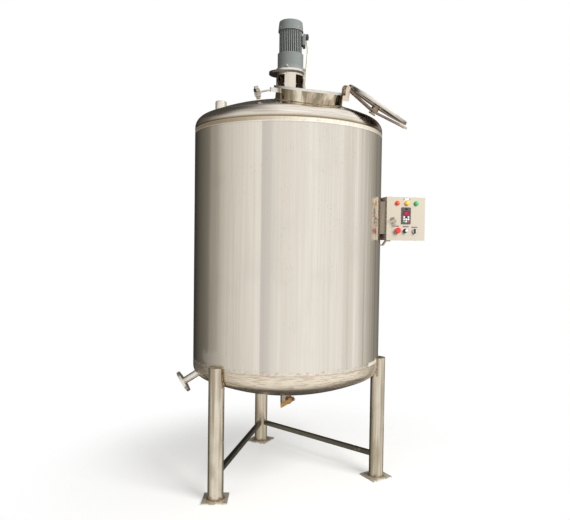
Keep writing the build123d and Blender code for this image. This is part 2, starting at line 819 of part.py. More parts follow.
def box_strut():
    """Cranked flat strut from the shell up to the underside of the control box."""
    side = shell_radius + box_standoff
    root = shell_radius / 2
    top = box_bottom_z
    slope = strut_drop / strut_run
    outline = Plane.XZ * make_face(Curve() + Polyline(
        (root, top - strut_drop - strut_thickness), (root, top - strut_drop),
        (side - strut_run / 2, top - strut_drop), (side, top), (side + strut_foot, top),
        (side + strut_foot, top - strut_thickness), (side + strut_thickness * slope, top - strut_thickness),
        (side - strut_run / 2 + strut_thickness * slope, top - strut_drop - strut_thickness),
        (root, top - strut_drop - strut_thickness)))
    bar = Pos(0, strut_y, 0) * extrude(outline, strut_width / 2, both=True)
    return bar - upright(shell_radius, shell_bottom_z, shell_top_z)


def on_door(place, shape):
    """Puts a shape drawn upright on the door's front, its local +Z pointing out of the door."""
    return box_place() * Pos(place[0], 0, place[1]) * Rot(90, 0, 0) * shape


def lamp():
    """Signal lamp with its bezel and round lens."""
    lens = lamp_radius - 1
    return turned([
        (0, 0), (lamp_radius, 0), (lamp_radius, lamp_bezel_height), (lens, lamp_bezel_height),
        (lens, lamp_height - lamp_edge), (lens - lamp_edge, lamp_height), (0, lamp_height)])


def keypad():
    """Frame of the display and its keys."""
    width, height, depth = keypad_size
    return extrude(RectangleRounded(width, height, keypad_corner), depth)


def stop_button():
    """Mushroom head of the emergency stop on its stem, out as at rest."""
    low = stop_base_height + stop_travel + 1
    top = low + stop_cap_height
    return turned([
        (0, stop_travel + 1), (stop_stem_radius, stop_travel + 1), (stop_stem_radius, low),
        (stop_radius, low), (stop_radius, top - stop_edge), (stop_radius - stop_edge, top), (0, top)])


def stop_base():
    """Metal collar under the emergency stop."""
    return ring(stop_base_radius, stop_stem_radius + running_gap, 0, stop_base_height)


def speed_knob():
    """Round dial knob, narrower at its front."""
    return turned([
        (0, running_gap), (speed_knob_radius, running_gap),
        (speed_knob_radius - speed_knob_taper, speed_knob_height), (0, speed_knob_height)])


def selector():
    """Selector switch with a bar handle."""
    width, length, height = selector_handle
    base = upright(selector_radius, running_gap, selector_base_height)
    handle = Pos(0, 0, selector_base_height) * Box(
        width, length, height, align=(Align.CENTER, Align.CENTER, Align.MIN))
    return base + handle


def box_gland():
    """Place of the cable gland on the back of the control box, +Z pointing out."""
    x, z = box_gland_place
    return box_place() * Pos(x, box_depth, z) * Rot(-90, 0, 0)


def cable_points():
    """Corners of the motor cable's route: beside the drive, over the dish and down the shell."""
    start = (gland_place() * Pos(0, 0, -gland_height)).position
    end = (box_gland() * Pos(0, 0, box_gland_length)).position
    before_end = (box_gland() * Pos(0, 0, box_gland_length + cable_entry)).position
    slack = [(start.X + x, y, start.Z - drop) for x, y, drop in ((0, 0, cable_exit), *cable_slack)]
    beside = [(lantern_radius + x, y, start.Z - drop) for x, y, drop in cable_beside]
    foot = [(lantern_radius + x, y, dish_pole_z + rise) for x, y, rise in cable_foot]
    over = []
    for reach, angle in cable_over:
        over.append((*polar(reach, angle), dish_height(reach) + cable_dish_lift))
    bend = math.atan2(crown_radius() - dish_depth, shell_radius - knuckle_radius)
    out = (knuckle_radius + cable_lift) / math.cos(bend / 4)
    knuckle = []
    for rise in (0.75 * bend, 0.25 * bend):
        reach = shell_radius - knuckle_radius + out * math.cos(rise)
        knuckle.append((*polar(reach, cable_over[-1][1]), shell_top_z + top_flange + out * math.sin(rise)))
    down = [(*polar(shell_radius + cable_lift, angle), shell_top_z - drop) for angle, drop in cable_down]
    outside = [(end.X + x, end.Y + y, end.Z + z) for x, y, z in cable_outside]
    return [start, *slack, *beside, *foot, *over, *knuckle, *down, *outside, before_end, end]


def write(name, shape):
    """Writes one node, with its name on the solid."""
    shape.label = name
    export_step(shape, os.path.join("parts", name + ".step"))


os.makedirs("parts", exist_ok=True)
envelope = tank_envelope()
hole = manhole_plane()

write("shell_front", half_shell(True))
write("shell_back", half_shell(False))
write("top_head", top_head())
write("bottom_head", bottom_head())
for name, angle in zip(("front_left", "right", "back"), leg_angles()):
    write("leg_" + name, leg(angle, envelope))
    write("foot_" + name, foot_plate(angle))
front_left, right, back = leg_angles()
write("brace_left", brace(front_left, back))
write("brace_right", brace(back, right))
write("manhole_neck", hole * manhole_neck())
write("manhole_rim", hole * manhole_rim())
write("lid_hinge", hole * lid_hinge())
write("clamp_ears", hole * clamp_ears())
write("lid_strap", hole * lid_open(strap()))
write("lid", hole * lid_leaned(lid()))
write("lid_gasket", hole * lid_leaned(gasket()))
write("swing_bolt", hole * bolt_down(swing_bolt()))
write("star_knob", hole * bolt_down(star_knob()))
write("lantern", lantern())
write("shaft_seal", shaft_seal())
write("drive_plate", drive_plate())
write("flange_ring", flange_ring())
write("gearbox", gearbox())
write("motor_stator", stator())
write("fan_cowl", fan_cowl())
write("terminal_box", terminal_box())
write("cable_gland", cable_gland())
write("agitator_shaft", agitator_shaft())
write("impeller", impeller())
write("top_socket", top_socket())
write("drain_nozzle", drain_nozzle())
write("outlet_pipe", outlet_pipe())
write("valve_body", valve_body())
write("valve_lever", valve_lever())
write("control_box", control_box())
write("box_door", box_door())
write("box_bracket", mount_plate())
write("box_strut", box_strut())
for name, x in lamp_places:
    write(name, on_door((x, lamp_z), lamp()))
write("keypad", on_door(keypad_place, keypad()))
write("door_lock", on_door(lock_place, upright(lock_radius, 0, lock_height)))
write("stop_base", on_door(stop_place, stop_base()))
write("emergency_stop", on_door(stop_place, stop_button()))
write("speed_knob", on_door(speed_place, speed_knob()))
write("selector", on_door(selector_place, selector()))
write("box_gland", box_gland() * upright(box_gland_radius, 0, box_gland_length))

points = [Vector(*point) for point in cable_points()]
radii = []
for before, corner, after in zip(points, points[1:], points[2:]):
    shorter = min((corner - before).length, (after - corner).length)
    turn = (corner - before).get_angle(after - corner)
    radii.append(cable_bend * shorter / math.tan(math.radians(turn / 2)))
print("cable corners", [tuple(round(value, 1) for value in point) for point in points])
print("cable radii", [round(radius) for radius in radii])
route = FilletPolyline(*points, radius=radii)
cable = sweep(Plane(origin=route @ 0, z_dir=route % 0) * Circle(cable_radius), path=route)
print("cable length", round(route.length), "volume ratio",
      round(cable.volume / (route.length * math.pi * cable_radius ** 2), 4))
write("motor_cable", cable)
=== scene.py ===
import math

import bmesh
import bpy
import numpy as np
from mathutils import Matrix, Vector


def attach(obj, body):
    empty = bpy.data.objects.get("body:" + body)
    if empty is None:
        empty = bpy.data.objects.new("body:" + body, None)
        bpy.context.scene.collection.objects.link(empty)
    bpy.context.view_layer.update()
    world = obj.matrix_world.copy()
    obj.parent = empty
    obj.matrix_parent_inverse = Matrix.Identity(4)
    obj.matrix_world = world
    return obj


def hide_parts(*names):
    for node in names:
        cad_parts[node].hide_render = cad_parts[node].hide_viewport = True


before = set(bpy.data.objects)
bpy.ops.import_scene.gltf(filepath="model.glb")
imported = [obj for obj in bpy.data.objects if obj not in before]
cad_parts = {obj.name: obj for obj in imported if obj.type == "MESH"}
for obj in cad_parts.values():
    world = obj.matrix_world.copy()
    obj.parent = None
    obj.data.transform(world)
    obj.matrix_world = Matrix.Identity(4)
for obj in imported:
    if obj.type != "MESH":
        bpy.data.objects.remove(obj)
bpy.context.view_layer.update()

# Camera
# The view is from 4.1 m in front of the tank at eye height, turned 3 degrees to the right and
# almost 2 down, with the picture's middle shifted to where the photograph has it.
scene = bpy.context.scene
lens = bpy.data.cameras.new("camera")
lens.sensor_fit = "HORIZONTAL"
lens.lens = 36.77
lens.shift_x = -0.0597
lens.shift_y = -0.001
camera = bpy.data.objects.new("camera", lens)
camera.matrix_world = (
    Matrix.Translation((0, -4.1335, 1.6339))
    @ Matrix.Rotation(math.radians(-3.077), 4, "Z")
    @ Matrix.Rotation(math.radians(90 - 1.744), 4, "X")
    @ Matrix.Rotation(math.radians(0.876), 4, "Z"))
scene.collection.objects.link(camera)
scene.camera = camera
scene.view_settings.view_transform = "Standard"


# Motor cable
# A 16 mm PVC motor cable, cream. It hangs from the gland beside the motor, crosses the dish and
# runs down the shell to the back of the control box, held only by its two glands.
class Value:
    """One output of a shader node. Arithmetic on it adds Math nodes."""

    def __init__(self, finish, socket):
        self.finish = finish
        self.socket = socket

    def apply(self, operation, *others):
        return self.finish.node("Math", {"operation": operation}, dict(enumerate((self, *others))))

    def __add__(self, other):
        return self.apply("ADD", other)

    def __sub__(self, other):
        return self.apply("SUBTRACT", other)

    def __mul__(self, other):
        return self.apply("MULTIPLY", other)

    def __truediv__(self, other):
        return self.apply("DIVIDE", other)

    def __rsub__(self, other):
        return self.finish.node("Math", {"operation": "SUBTRACT"}, {0: other, 1: self})

    def __abs__(self):
        return self.apply("ABSOLUTE")

    __radd__ = __add__
    __rmul__ = __mul__

    def rise(self, low, high):
        """0 below low, 1 above high, smooth between them."""
        return self.finish.node("MapRange", {"interpolation_type": "SMOOTHSTEP"},
                                {"Value": self, "From Min": low, "From Max": high})

    def near(self, middle, reach):
        """1 at a value, falling smoothly to 0 at a reach on both sides of it."""
        return 1 - abs(self - middle).rise(0.0, reach)


class Finish:
    """A material being made. place is the point on the piece in metres, and x, y and z its parts."""

    def __init__(self, name):
        self.material = bpy.data.materials.new(name)
        self.material.use_nodes = True
        self.nodes = self.material.node_tree.nodes
        self.links = self.material.node_tree.links
        self.shader = self.nodes["Principled BSDF"]
        self.place = self.node("TexCoord", out="Object")
        self.x, self.y, self.z = (self.node("SeparateXYZ", {}, {0: self.place}, out) for out in range(3))

    def node(self, kind, settings=None, values=None, out=0):
        """Adds a node: first its settings, such as a ramp's stops, then its sockets' values or links."""
        node = self.nodes.new("ShaderNode" + kind)
        for name, setting in (settings or {}).items():
            if name == "stops":
                elements = node.color_ramp.elements
                elements.remove(elements[1])
                elements[0].position = setting[0][0]
                elements[0].color = (*setting[0][1], 1)
                for position, color in setting[1:]:
                    elements.new(position).color = (*color, 1)
            else:
                setattr(node, name, setting)
        for name, value in (values or {}).items():
            self.feed(node.inputs[name], value)
        return Value(self, node.outputs[out])

    def feed(self, socket, value):
        if isinstance(value, Value):
            self.links.new(value.socket, socket)
        elif isinstance(value, tuple) and len(socket.default_value) == 4:
            socket.default_value = (*value, 1)
        else:
            socket.default_value = value

    def mix(self, mask, low, high):
        return self.node("Mix", {"data_type": "RGBA"}, {0: mask, 6: low, 7: high}, 2)

    def layers(self, color, *laid):
        """A colour with others laid over it in turn, each given as its mask and its colour."""
        for mask, over in laid:
            color = self.mix(mask, color, over)
        return color

    def noise(self, scale, stretch=(1, 1, 1), detail=3.0):
        """Cloudy pattern, so many patches a metre, made longer where stretch is below 1."""
        place = self.node("VectorMath", {"operation": "MULTIPLY"}, {0: self.place, 1: stretch})
        return self.node("TexNoise", {}, {"Vector": place, "Scale": scale, "Detail": detail})

    def along(self, direction):
        """Distance along a direction, from the object's origin."""
        return self.node("VectorMath", {"operation": "DOT_PRODUCT"}, {0: self.place, 1: tuple(direction)}, 1)

    def from_point(self, point):
        """Distance from a point."""
        return self.node("VectorMath", {"operation": "DISTANCE"}, {0: self.place, 1: tuple(point)}, 1)

    def from_axis(self, x=0.0, y=0.0):
        """Distance from an upright line, on plan."""
        across, deep = self.x - x, self.y - y
        return (across * across + deep * deep).apply("SQRT")

    def coat(self, color, roughness, metallic=0.0, height=None, depth=0.0, **fixed):
        """Feeds the shader; height is the bumps' pattern and depth their size in metres."""
        wanted = {"Base Color": color, "Roughness": roughness, "Metallic": metallic, **fixed}
        for name, value in wanted.items():
            self.feed(self.shader.inputs[name.replace("_", " ")], value)
        if height is not None:
            bump = self.node("Bump", {}, {"Height": height, "Distance": depth, "Strength": 1.0})
            self.feed(self.shader.inputs["Normal"], bump)
        return self

    def dress(self, *names):
        """Gives this finish to CAD nodes."""
        for name in names:
            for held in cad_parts[name].material_slots:
                held.material = self.material


sheath = Finish("cable_sheath")
sheath_dirt = sheath.noise(38).rise(0.5, 0.75)
sheath.coat(
    color=sheath.mix(sheath_dirt, (0.86, 0.80, 0.63), (0.66, 0.59, 0.44)),
    roughness=0.42 + sheath.noise(60) * 0.15,
    height=sheath.noise(900), depth=0.0002)

cable_route = [
    (0.1145, 0.0, 3.0495), (0.1145, 0.0, 3.0215), (0.1225, -0.002, 2.9875), (0.1205, -0.002, 2.9415),
    (0.1165, -0.001, 2.8845), (0.112, -0.002, 2.8235), (0.108, -0.001, 2.7595), (0.110, 0.002, 2.6995),
    (0.122, 0.008, 2.643), (0.160, 0.024, 2.614), (0.229, 0.0529, 2.588), (0.3172, 0.091, 2.5692),
    (0.4185, 0.136, 2.5391), (0.5153, 0.1774, 2.5015), (0.5979, 0.2059, 2.4612), (0.6231, 0.2145, 2.4197),
    (0.6223, 0.2167, 2.32), (0.6253, 0.208, 2.18), (0.6264, 0.2047, 2.04), (0.6285, 0.1982, 1.94),
    (0.6487, 0.1922, 1.834), (0.6947, 0.1762, 1.806), (0.7502, 0.1083, 1.802), (0.7607, 0.0422, 1.802)]
cable_line = bpy.data.curves.new("cable", "CURVE")
cable_line.dimensions = "3D"
cable_line.bevel_depth = 0.008
cable_line.bevel_resolution = 5
cable_line.resolution_u = 10
cable_run = cable_line.splines.new("NURBS")
cable_run.points.add(len(cable_route) - 1)
for point, place in zip(cable_run.points, cable_route):
    point.co = (*place, 1)
cable_run.order_u = 3
cable_run.use_endpoint_u = True
cable = bpy.data.objects.new("cable", cable_line)
cable_line.materials.append(sheath.material)
scene.collection.objects.link(cable)
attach(cable, "tank")
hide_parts("motor_cable")


# Studio
# Not part of the tank: a pale floor that fades out round it, a white world behind, soft lamps, and
# a graded surround, seen only in the steel, that gives it its bright and its dark sides.
def surface(name, grids, finish, sharp=35):
    """One mesh from grids of points (rows x columns x 3), with seams and poles closed, faces outwards
    and edges sharper than so many degrees left sharp."""
    points = np.concatenate([grid.reshape(-1, 3) for grid in grids])
    faces = []
    start = 0
    for grid in grids:
        rows, columns = grid.shape[:2]
        corner = start + np.arange(rows - 1)[:, None] * columns + np.arange(columns - 1)
        square = np.stack([corner, corner + 1, corner + columns + 1, corner + columns], -1)
        faces.append(square.reshape(-1, 4))
        start += rows * columns
    mesh = bpy.data.meshes.new(name)
    mesh.from_pydata(points.tolist(), [], np.concatenate(faces).tolist())
    work = bmesh.new()
    work.from_mesh(mesh)
    bmesh.ops.remove_doubles(work, verts=work.verts, dist=1e-6)
    bmesh.ops.recalc_face_normals(work, faces=work.faces)
    work.to_mesh(mesh)
    work.free()
    mesh.polygons.foreach_set("use_smooth", np.ones(len(mesh.polygons), bool))
    mesh.set_sharp_from_angle(angle=math.radians(sharp))
    mesh.materials.append(finish.material)
    piece = bpy.data.objects.new(name, mesh)
    scene.collection.objects.link(piece)
    return piece


def swung(reach, angle, height):
    """Points by their distance from Z, angle round it and height, each a number or an array."""
    return np.stack(np.broadcast_arrays(reach * np.cos(angle), reach * np.sin(angle), height), -1)


floor_paint = Finish("floor_paint")
floor_paint.coat(
    color=(0.60, 0.60, 0.59), roughness=0.9, Emission_Color=(1.0, 1.0, 0.99), Emission_Strength=0.42)
fade = floor_paint.node("MixShader", {}, {
    0: floor_paint.from_axis().rise(0.7, 1.9), 1: Value(floor_paint, floor_paint.shader.outputs[0]),
    2: floor_paint.node("BsdfTransparent")})
floor_paint.feed(floor_paint.nodes["Material Output"].inputs["Surface"], fade)
floor_rings = np.linspace(0, 3.0, 13)[:, None]
floor = surface("floor", [swung(floor_rings, np.linspace(0, 2 * np.pi, 65), 0.0)], floor_paint)

cloth = Finish("surround_cloth")
surround_middle, surround_radius = (0, 0, 1.6), 30.0
run = cloth.node("VectorMath", {"operation": "SUBTRACT"}, {0: cloth.place, 1: surround_middle})
run = cloth.node("VectorMath", {"operation": "NORMALIZE"}, {0: run})
run_x, run_y, run_z = (cloth.node("SeparateXYZ", {}, {0: run}, out) for out in range(3))
turn = run_x.apply("ARCTAN2", run_y * -1) * (0.5 / math.pi) + 0.5


def greys(place, tint, *stops):
    """Greys along a value, from (position, brightness) stops, the dark ones tinted."""
    tinted = [(position, [bright * (1 - (1 - bright) * (1 - part)) for part in tint])
              for position, bright in stops]
    return cloth.node("ValToRGB", {"stops": tinted}, {0: place})


walls = greys(
    turn, (1.0, 0.93, 0.78),
    (0.0, 0.05), (0.085, 0.03), (0.125, 0.08), (0.17, 0.15), (0.205, 0.22), (0.211, 0.36), (0.249, 0.41),
    (0.256, 0.55), (0.31, 0.74), (0.36, 0.86), (0.41, 0.94), (0.5, 0.98), (0.68, 1.0), (0.70, 0.88),
    (0.727, 0.90), (0.735, 1.0), (0.757, 1.0), (0.765, 0.82), (0.80, 0.66), (0.84, 0.45), (0.853, 0.34),
    (0.89, 0.27), (0.94, 0.17), (1.0, 0.08))
ceiling = greys(
    run_y * -0.5 + run_x * 0.2 + 0.5, (1.0, 0.94, 0.84),
    (0.0, 0.05), (0.08, 0.08), (0.2, 0.2), (0.33, 0.46), (0.43, 0.9), (0.52, 1.0))
ground_look = greys(
    run_y * -0.5 + 0.5, (1.0, 0.88, 0.73),
    (0.0, 0.03), (0.3, 0.05), (0.42, 0.12), (0.5, 0.3), (0.6, 0.62), (0.7, 0.85), (1.0, 1.0))
shaded = (1 - run_x.rise(-0.50, -0.08)) * (run_y.rise(-0.5, 0.1) * 0.6 + 0.35)
graded = cloth.layers(
    walls,
    (run_z.rise(0.23, 0.5), cloth.mix(shaded, ceiling, (0.06, 0.056, 0.048))),
    ((run_z * -1).rise(0.36, 0.6), ground_look))
cloth.coat(color=(0.0, 0.0, 0.0), roughness=1.0, Emission_Color=graded, Emission_Strength=1.0)
height = np.radians(np.linspace(-90, 90, 25))[:, None]
ball = swung(np.cos(height), np.linspace(0, 2 * np.pi, 49), np.sin(height))
surround = surface("surround", [surround_radius * ball + surround_middle], cloth)
surround.visible_camera = False
surround.visible_diffuse = False
surround.visible_shadow = False
surround.visible_transmission = False
floor.visible_glossy = False

world = bpy.data.worlds.new("studio")
world.use_nodes = True
scene.world = world
sky = world.node_tree
path = sky.nodes.new("ShaderNodeLightPath")
mirrored = sky.nodes.new("ShaderNodeMath")
mirrored.operation = "MAXIMUM"
seen = sky.nodes.new("ShaderNodeMath")
seen.operation = "MAXIMUM"
white = sky.nodes["Background"]
white.inputs["Color"].default_value = (1, 1, 1, 1)
soft = sky.nodes.new("ShaderNodeBackground")
soft.inputs["Color"].default_value = (1, 0.985, 0.96, 1)
soft.inputs["Strength"].default_value = 0.31
choose = sky.nodes.new("ShaderNodeMixShader")
sky.links.new(path.outputs["Is Glossy Ray"], mirrored.inputs[0])
sky.links.new(path.outputs["Is Transmission Ray"], mirrored.inputs[1])
sky.links.new(path.outputs["Is Camera Ray"], seen.inputs[0])
sky.links.new(mirrored.outputs[0], seen.inputs[1])
sky.links.new(seen.outputs[0], choose.inputs[0])
sky.links.new(soft.outputs[0], choose.inputs[1])
sky.links.new(white.outputs[0], choose.inputs[2])
sky.links.new(choose.outputs[0], sky.nodes["World Output"].inputs[0])

lamp_size = 3.6
for name, place, aim_height, power in (
        ("lamp_key", (4.2, -4.2, 4.8), 1.7, 580), ("lamp_fill", (-3.4, -5.0, 2.6), 1.0, 70)):
    lamp = bpy.data.lights.new(name, "AREA")
    lamp.size = lamp_size
    lamp.energy = power
    holder = bpy.data.objects.new(name, lamp)
    away = Vector(place) - Vector((0, 0, aim_height))
    holder.matrix_world = Matrix.Translation(place) @ away.to_track_quat("Z", "Y").to_matrix().to_4x4()
    holder.visible_glossy = False
    scene.collection.objects.link(holder)


# Shell
# Two rolled plates of 4 mm stainless steel, factory brushed, butt welded at the left and the right.
# The round seams to the dished ends are ground to a pale band beside the heat-tinted weld.
tank_radius = 0.650
shell_low, shell_high = 0.820, 2.380
leg_radius = 0.050
leg_angles = np.radians([228.0, 348.0, 468.0])
leg_places = swung(tank_radius, leg_angles, 0.0)


def steel(name, pale, dark, gloss, wave=0.002, streak=(1, 1, 0.02), grain=0.00004):
    """Stainless steel: soft bands of polish between two colours, drawn out where streak is small,
    slightly wavy plate, and the gloss's roughness from so low to so high."""
    made = Finish(name)
    made.bands = made.noise(5.0, streak, 2.0)
    made.fine = made.noise(70.0, streak, 2.0)
    made.base = made.mix((made.bands * 0.7 + made.fine * 0.3).rise(0.32, 0.68), pale, dark)
    made.gloss = gloss[0] + (made.bands * 0.6 + made.fine * 0.4) * (gloss[1] - gloss[0])
    made.wave = made.noise(3.2, (1, 1, 0.5), 1.0) * wave + made.noise(240.0, streak, 1.0) * grain
    return made


def heat(made, distance, width=0.02, strength=1.0):
    """Layer of welding heat beside a seam: dark at the weld, then brown and straw, then bare."""
    far = distance * (0.8 + made.noise(60.0) * 0.4)
    colors = made.node("ValToRGB", {"stops": (
        (0.0, (0.12, 0.09, 0.06)), (0.25, (0.26, 0.18, 0.11)), (0.5, (0.48, 0.37, 0.24)),
        (0.8, (0.64, 0.56, 0.43)), (1.0, (0.70, 0.65, 0.56)))}, {0: far / width})
    return (1 - far.rise(width * 0.55, width * 1.1)) * strength, colors


def from_legs(made):
    """Distance from the side of the nearest leg, on plan."""
    left, right, back = (abs(made.from_axis(x, y) - leg_radius) for x, y in leg_places[:, :2].tolist())
    return left.apply("MINIMUM", right).apply("MINIMUM", back)


shell = steel("shell_steel", (0.83, 0.775, 0.69), (0.72, 0.665, 0.58), (0.07, 0.19), 0.0026)
around = shell.x.apply("ARCTAN2", shell.y * -1)
before_back = 1 - around.rise(2.2, 3.0)
strip = around.rise(-0.262, -0.245) * (1 - around.rise(-0.225, -0.06))
# Thin upright streaks: faint brushing all round, and stronger dark and bright streaks on the right side
# towards the back, which are painted reflections.
thin_streaks = shell.noise(46.0, (1, 1, 0.008), 3.0)
brushing_and_reflection_streaks = around.rise(0.3, 0.9) * before_back * 0.42 + 0.08
cloudy = shell.noise(4.5, (1, 1, 0.6), 5.0)
top_gap = shell_high - shell.z
low_gap = shell.z - shell_low
side_seam = abs(shell.y)
to_front = shell.y * -1
top_ground = 1 - (top_gap + shell.noise(9.0, (1, 1, 0.1)) * 0.004).rise(0.030, 0.0325)
low_ground = 1 - (low_gap + shell.noise(30.0, (1, 1, 2)) * 0.03).rise(0.014, 0.042)
# The ground band: pale cream from the front round the right side, and gold-brown painted shade on the left
# side and at the back, with a fine darker hatch and a thin pale line along its lower edge.
ground_band_and_shade = shell.layers(
    (0.42, 0.33, 0.20),
    (around.rise(-0.55, 0.25) * before_back, (0.84, 0.79, 0.67)),
    (shell.noise(90.0, (1, 1, 0.3)).rise(0.45, 0.7) * 0.5, (0.50, 0.41, 0.28)),
    ((top_gap + 0.002).near(0.031, 0.005), (0.92, 0.87, 0.74)))
stain = shell.noise(38.0, (1, 1, 2.5), 4.0).rise(0.48, 0.62) * (1 - low_gap.rise(0.012, 0.036))
chalk_place = (shell.x - float(leg_places[0, 0])).near(-0.03, 0.16) * shell.z.near(0.885, 0.095)
chalk = (chalk_place * 0.8 + shell.noise(22.0, (1, 1, 1), 6.0) - 0.5).rise(0.18, 0.62)
chalk = chalk * to_front.rise(0.3, 0.4)
patch = (shell.x - 0.572).near(0.0, 0.05).rise(0.1, 0.35) * low_gap.near(0.010, 0.022).rise(0.15, 0.4)
patch = patch * to_front.rise(0.1, 0.2)
specks = shell.noise(150.0, (1, 1, 1), 0.0).rise(0.78, 0.82) * shell.noise(3.0).rise(0.45, 0.6)
bead_height = side_seam.near(0.0, 0.004) + top_gap.near(0.0, 0.004) + low_gap.near(0.0, 0.004)
shell.coat(
    color=shell.layers(
        shell.base,
        (strip * 0.8, (0.54, 0.50, 0.455)),
        # Painted reflection streaks, dark and bright, over faint brushing streaks all round.
        (thin_streaks.rise(0.56, 0.70) * brushing_and_reflection_streaks, (0.40, 0.38, 0.33)),
        (thin_streaks.near(0.38, 0.06) * brushing_and_reflection_streaks, (0.95, 0.92, 0.85)),
        (cloudy.rise(0.5, 0.72) * 0.25, (0.60, 0.56, 0.50)),
        ((top_gap + 0.002).near(0.036, 0.003) * 0.4, (0.42, 0.37, 0.29)),
        (top_ground * 0.85, ground_band_and_shade),
        (low_ground * 0.4, (0.82, 0.75, 0.62)),
        (stain * 0.5, (0.46, 0.36, 0.24)),
        heat(shell, side_seam * 2),
        heat(shell, top_gap, 0.007),
        heat(shell, from_legs(shell) + shell.z.rise(0.835, 0.87), 0.026, 0.8),
        (chalk * 0.45, (0.74, 0.70, 0.62)),
        (patch * 0.85, (0.96, 0.92, 0.80)),
        (specks * 0.6, (0.25, 0.20, 0.14))),
    roughness=shell.gloss + cloudy * 0.05 + top_ground * 0.28 + low_ground * 0.16 + chalk * 0.16,
    metallic=1 - top_ground * 0.45 - low_ground * 0.15 - chalk * 0.14 - specks * 0.1 - patch * 0.5,
    height=shell.wave + bead_height * 0.0008, depth=1.0)
shell.dress("shell_front", "shell_back")


# Dished ends
# Pressed and polished heads of the same plate. They are browner and more uneven than the shell,
# with the grinder's marks running round them and heat tint where necks and pipes are welded in.
dish_pole, dish_depth = 2.595, 0.200
knuckle_reach, knuckle_radius, low_knuckle = 0.575, 0.075, 0.782
crown_rise = (knuckle_reach ** 2 - knuckle_radius ** 2 + dish_depth ** 2) / 2
crown_radius = crown_rise / (dish_depth - knuckle_radius)
crown_centre = dish_pole - crown_radius
manhole_turn, manhole_lean = math.radians(-72.0), 0.392 / crown_radius
manhole_normal = swung(manhole_lean, manhole_turn, math.sqrt(1 - manhole_lean ** 2))
manhole_middle = crown_radius * manhole_normal + [0, 0, crown_centre]
neck_radius, lantern_radius = 0.215, 0.098

dish = steel(
    "dish_steel", (0.97, 0.925, 0.84), (0.74, 0.67, 0.57), (0.08, 0.22), 0.0045, (0.25, 0.25, 6), 0.0001)
polish_rings = dish.noise(16.0, (0.2, 0.2, 9), 3.0)
bottom = 1 - dish.z.rise(1.0, 1.1)
rough_zone = dish.z.rise(0.64, 0.72) * bottom
scratches = dish.noise(60.0, (0.25, 0.25, 3), 4.0)
dish.coat(
    color=dish.layers(
        dish.base,
        (polish_rings.rise(0.48, 0.66) * 0.45, (0.42, 0.36, 0.28)),
        (rough_zone * 0.8, (0.80, 0.70, 0.56)),
        (rough_zone * scratches.rise(0.46, 0.62) * 0.6, (0.42, 0.33, 0.22)),
        heat(dish, abs(dish.z - shell_high), 0.014, 0.8),
        heat(dish, (shell_low - dish.z) * bottom + (1 - bottom), 0.006, 0.5),
        heat(dish, abs(dish.from_point(manhole_middle) - neck_radius)),
        heat(dish, abs(dish.from_axis() - lantern_radius)),
        heat(dish, from_legs(dish) + dish.z.rise(0.9, 1.0), 0.03)),
    roughness=dish.gloss + polish_rings * 0.08 + rough_zone * 0.06,
    metallic=1 - rough_zone * 0.15,
    height=dish.wave + polish_rings * 0.0004 + rough_zone * scratches * 0.0006, depth=1.0)
dish.dress("top_head", "bottom_head")


# Welds
# TIG beads laid round each fitting and left as welded: a rippled bar of steel, tinted brown by
# the heat.
def steps_round(count):
    """Angles of a full turn in so many steps, back to the first."""
    return (np.arange(count + 1) % count) * 2 * np.pi / count


def plane(origin, along, facing):
    """Place of a flat as a 4 x 4 matrix: its origin, its X direction and the way it faces."""
    z = np.array(facing, float) / np.linalg.norm(facing)
    x = np.array(along, float) - z * np.dot(along, z)
    x /= np.linalg.norm(x)
    place = np.eye(4)
    place[:3] = np.stack([x, np.cross(z, x), z, origin], -1)
    return place


def moved(points, place):
    """Points given on a flat, in the tank's own frame."""
    return points @ place[:3, :3].T + place[:3, 3]


def tube(path, radius, sides=8, up=(0, 0, 1)):
    """Points of a bar along a path: at each point a ring square to the run, closed to a point at
    open ends. radius is a number or one per point; up is any direction off the run."""
    step = np.diff(path, axis=0)
    closed = np.allclose(path[0], path[-1])
    before = np.vstack([step[-1:] if closed else step[:1], step])
    after = np.vstack([step, step[:1] if closed else step[-1:]])
    run = before + after
    run /= np.linalg.norm(run, axis=1, keepdims=True)
    side = np.cross(run, up)
    side /= np.linalg.norm(side, axis=1, keepdims=True)
    top = np.cross(side, run)
    angle = steps_round(sides)[:, None]
    wide = np.broadcast_to(radius, len(path))[:, None, None]
    ring = path[:, None] + wide * (np.cos(angle) * side[:, None] + np.sin(angle) * top[:, None])
    if closed:
        return ring
    ends = [np.repeat(path[end][None, None], sides + 1, 1) for end in (0, -1)]
    return np.concatenate([ends[0], ring, ends[1]])


def bead(path, facing, size=0.0035):
    """Points of a weld bead: the path in even steps of a quarter pitch, rippling once per pitch.
    facing is the direction away from the plate, or gives it at an array of points."""
    pitch = 0.006
    length = np.concatenate([[0], np.cumsum(np.linalg.norm(np.diff(path, axis=0), axis=1))])
    even = np.linspace(0, length[-1], max(8, int(length[-1] / pitch * 4)))
    line = np.stack([np.interp(even, length, path[:, axis]) for axis in range(3)], -1)
    ripple = size * (0.82 + 0.18 * np.cos(2 * np.pi * even / pitch))
    return tube(line, ripple, 6, facing(line) if callable(facing) else facing)


def ring_path(radius, height, place=np.eye(4)):
    """Circle on a flat, closed."""
    return moved(swung(radius, steps_round(180), height), place)


def on_crown(points):
    """Directions out of the top dish's crown."""
    return (points - [0, 0, crown_centre]) / crown_radius


def on_side(points):
    """Directions out of the shell, and below it out of the lower knuckle."""
    out = points * [1, 1, 0]
    out /= np.linalg.norm(out, axis=1, keepdims=True)
    knuckle = points - (out * knuckle_reach + [0, 0, low_knuckle])
    return np.where(points[:, 2:] > low_knuckle, out, knuckle)


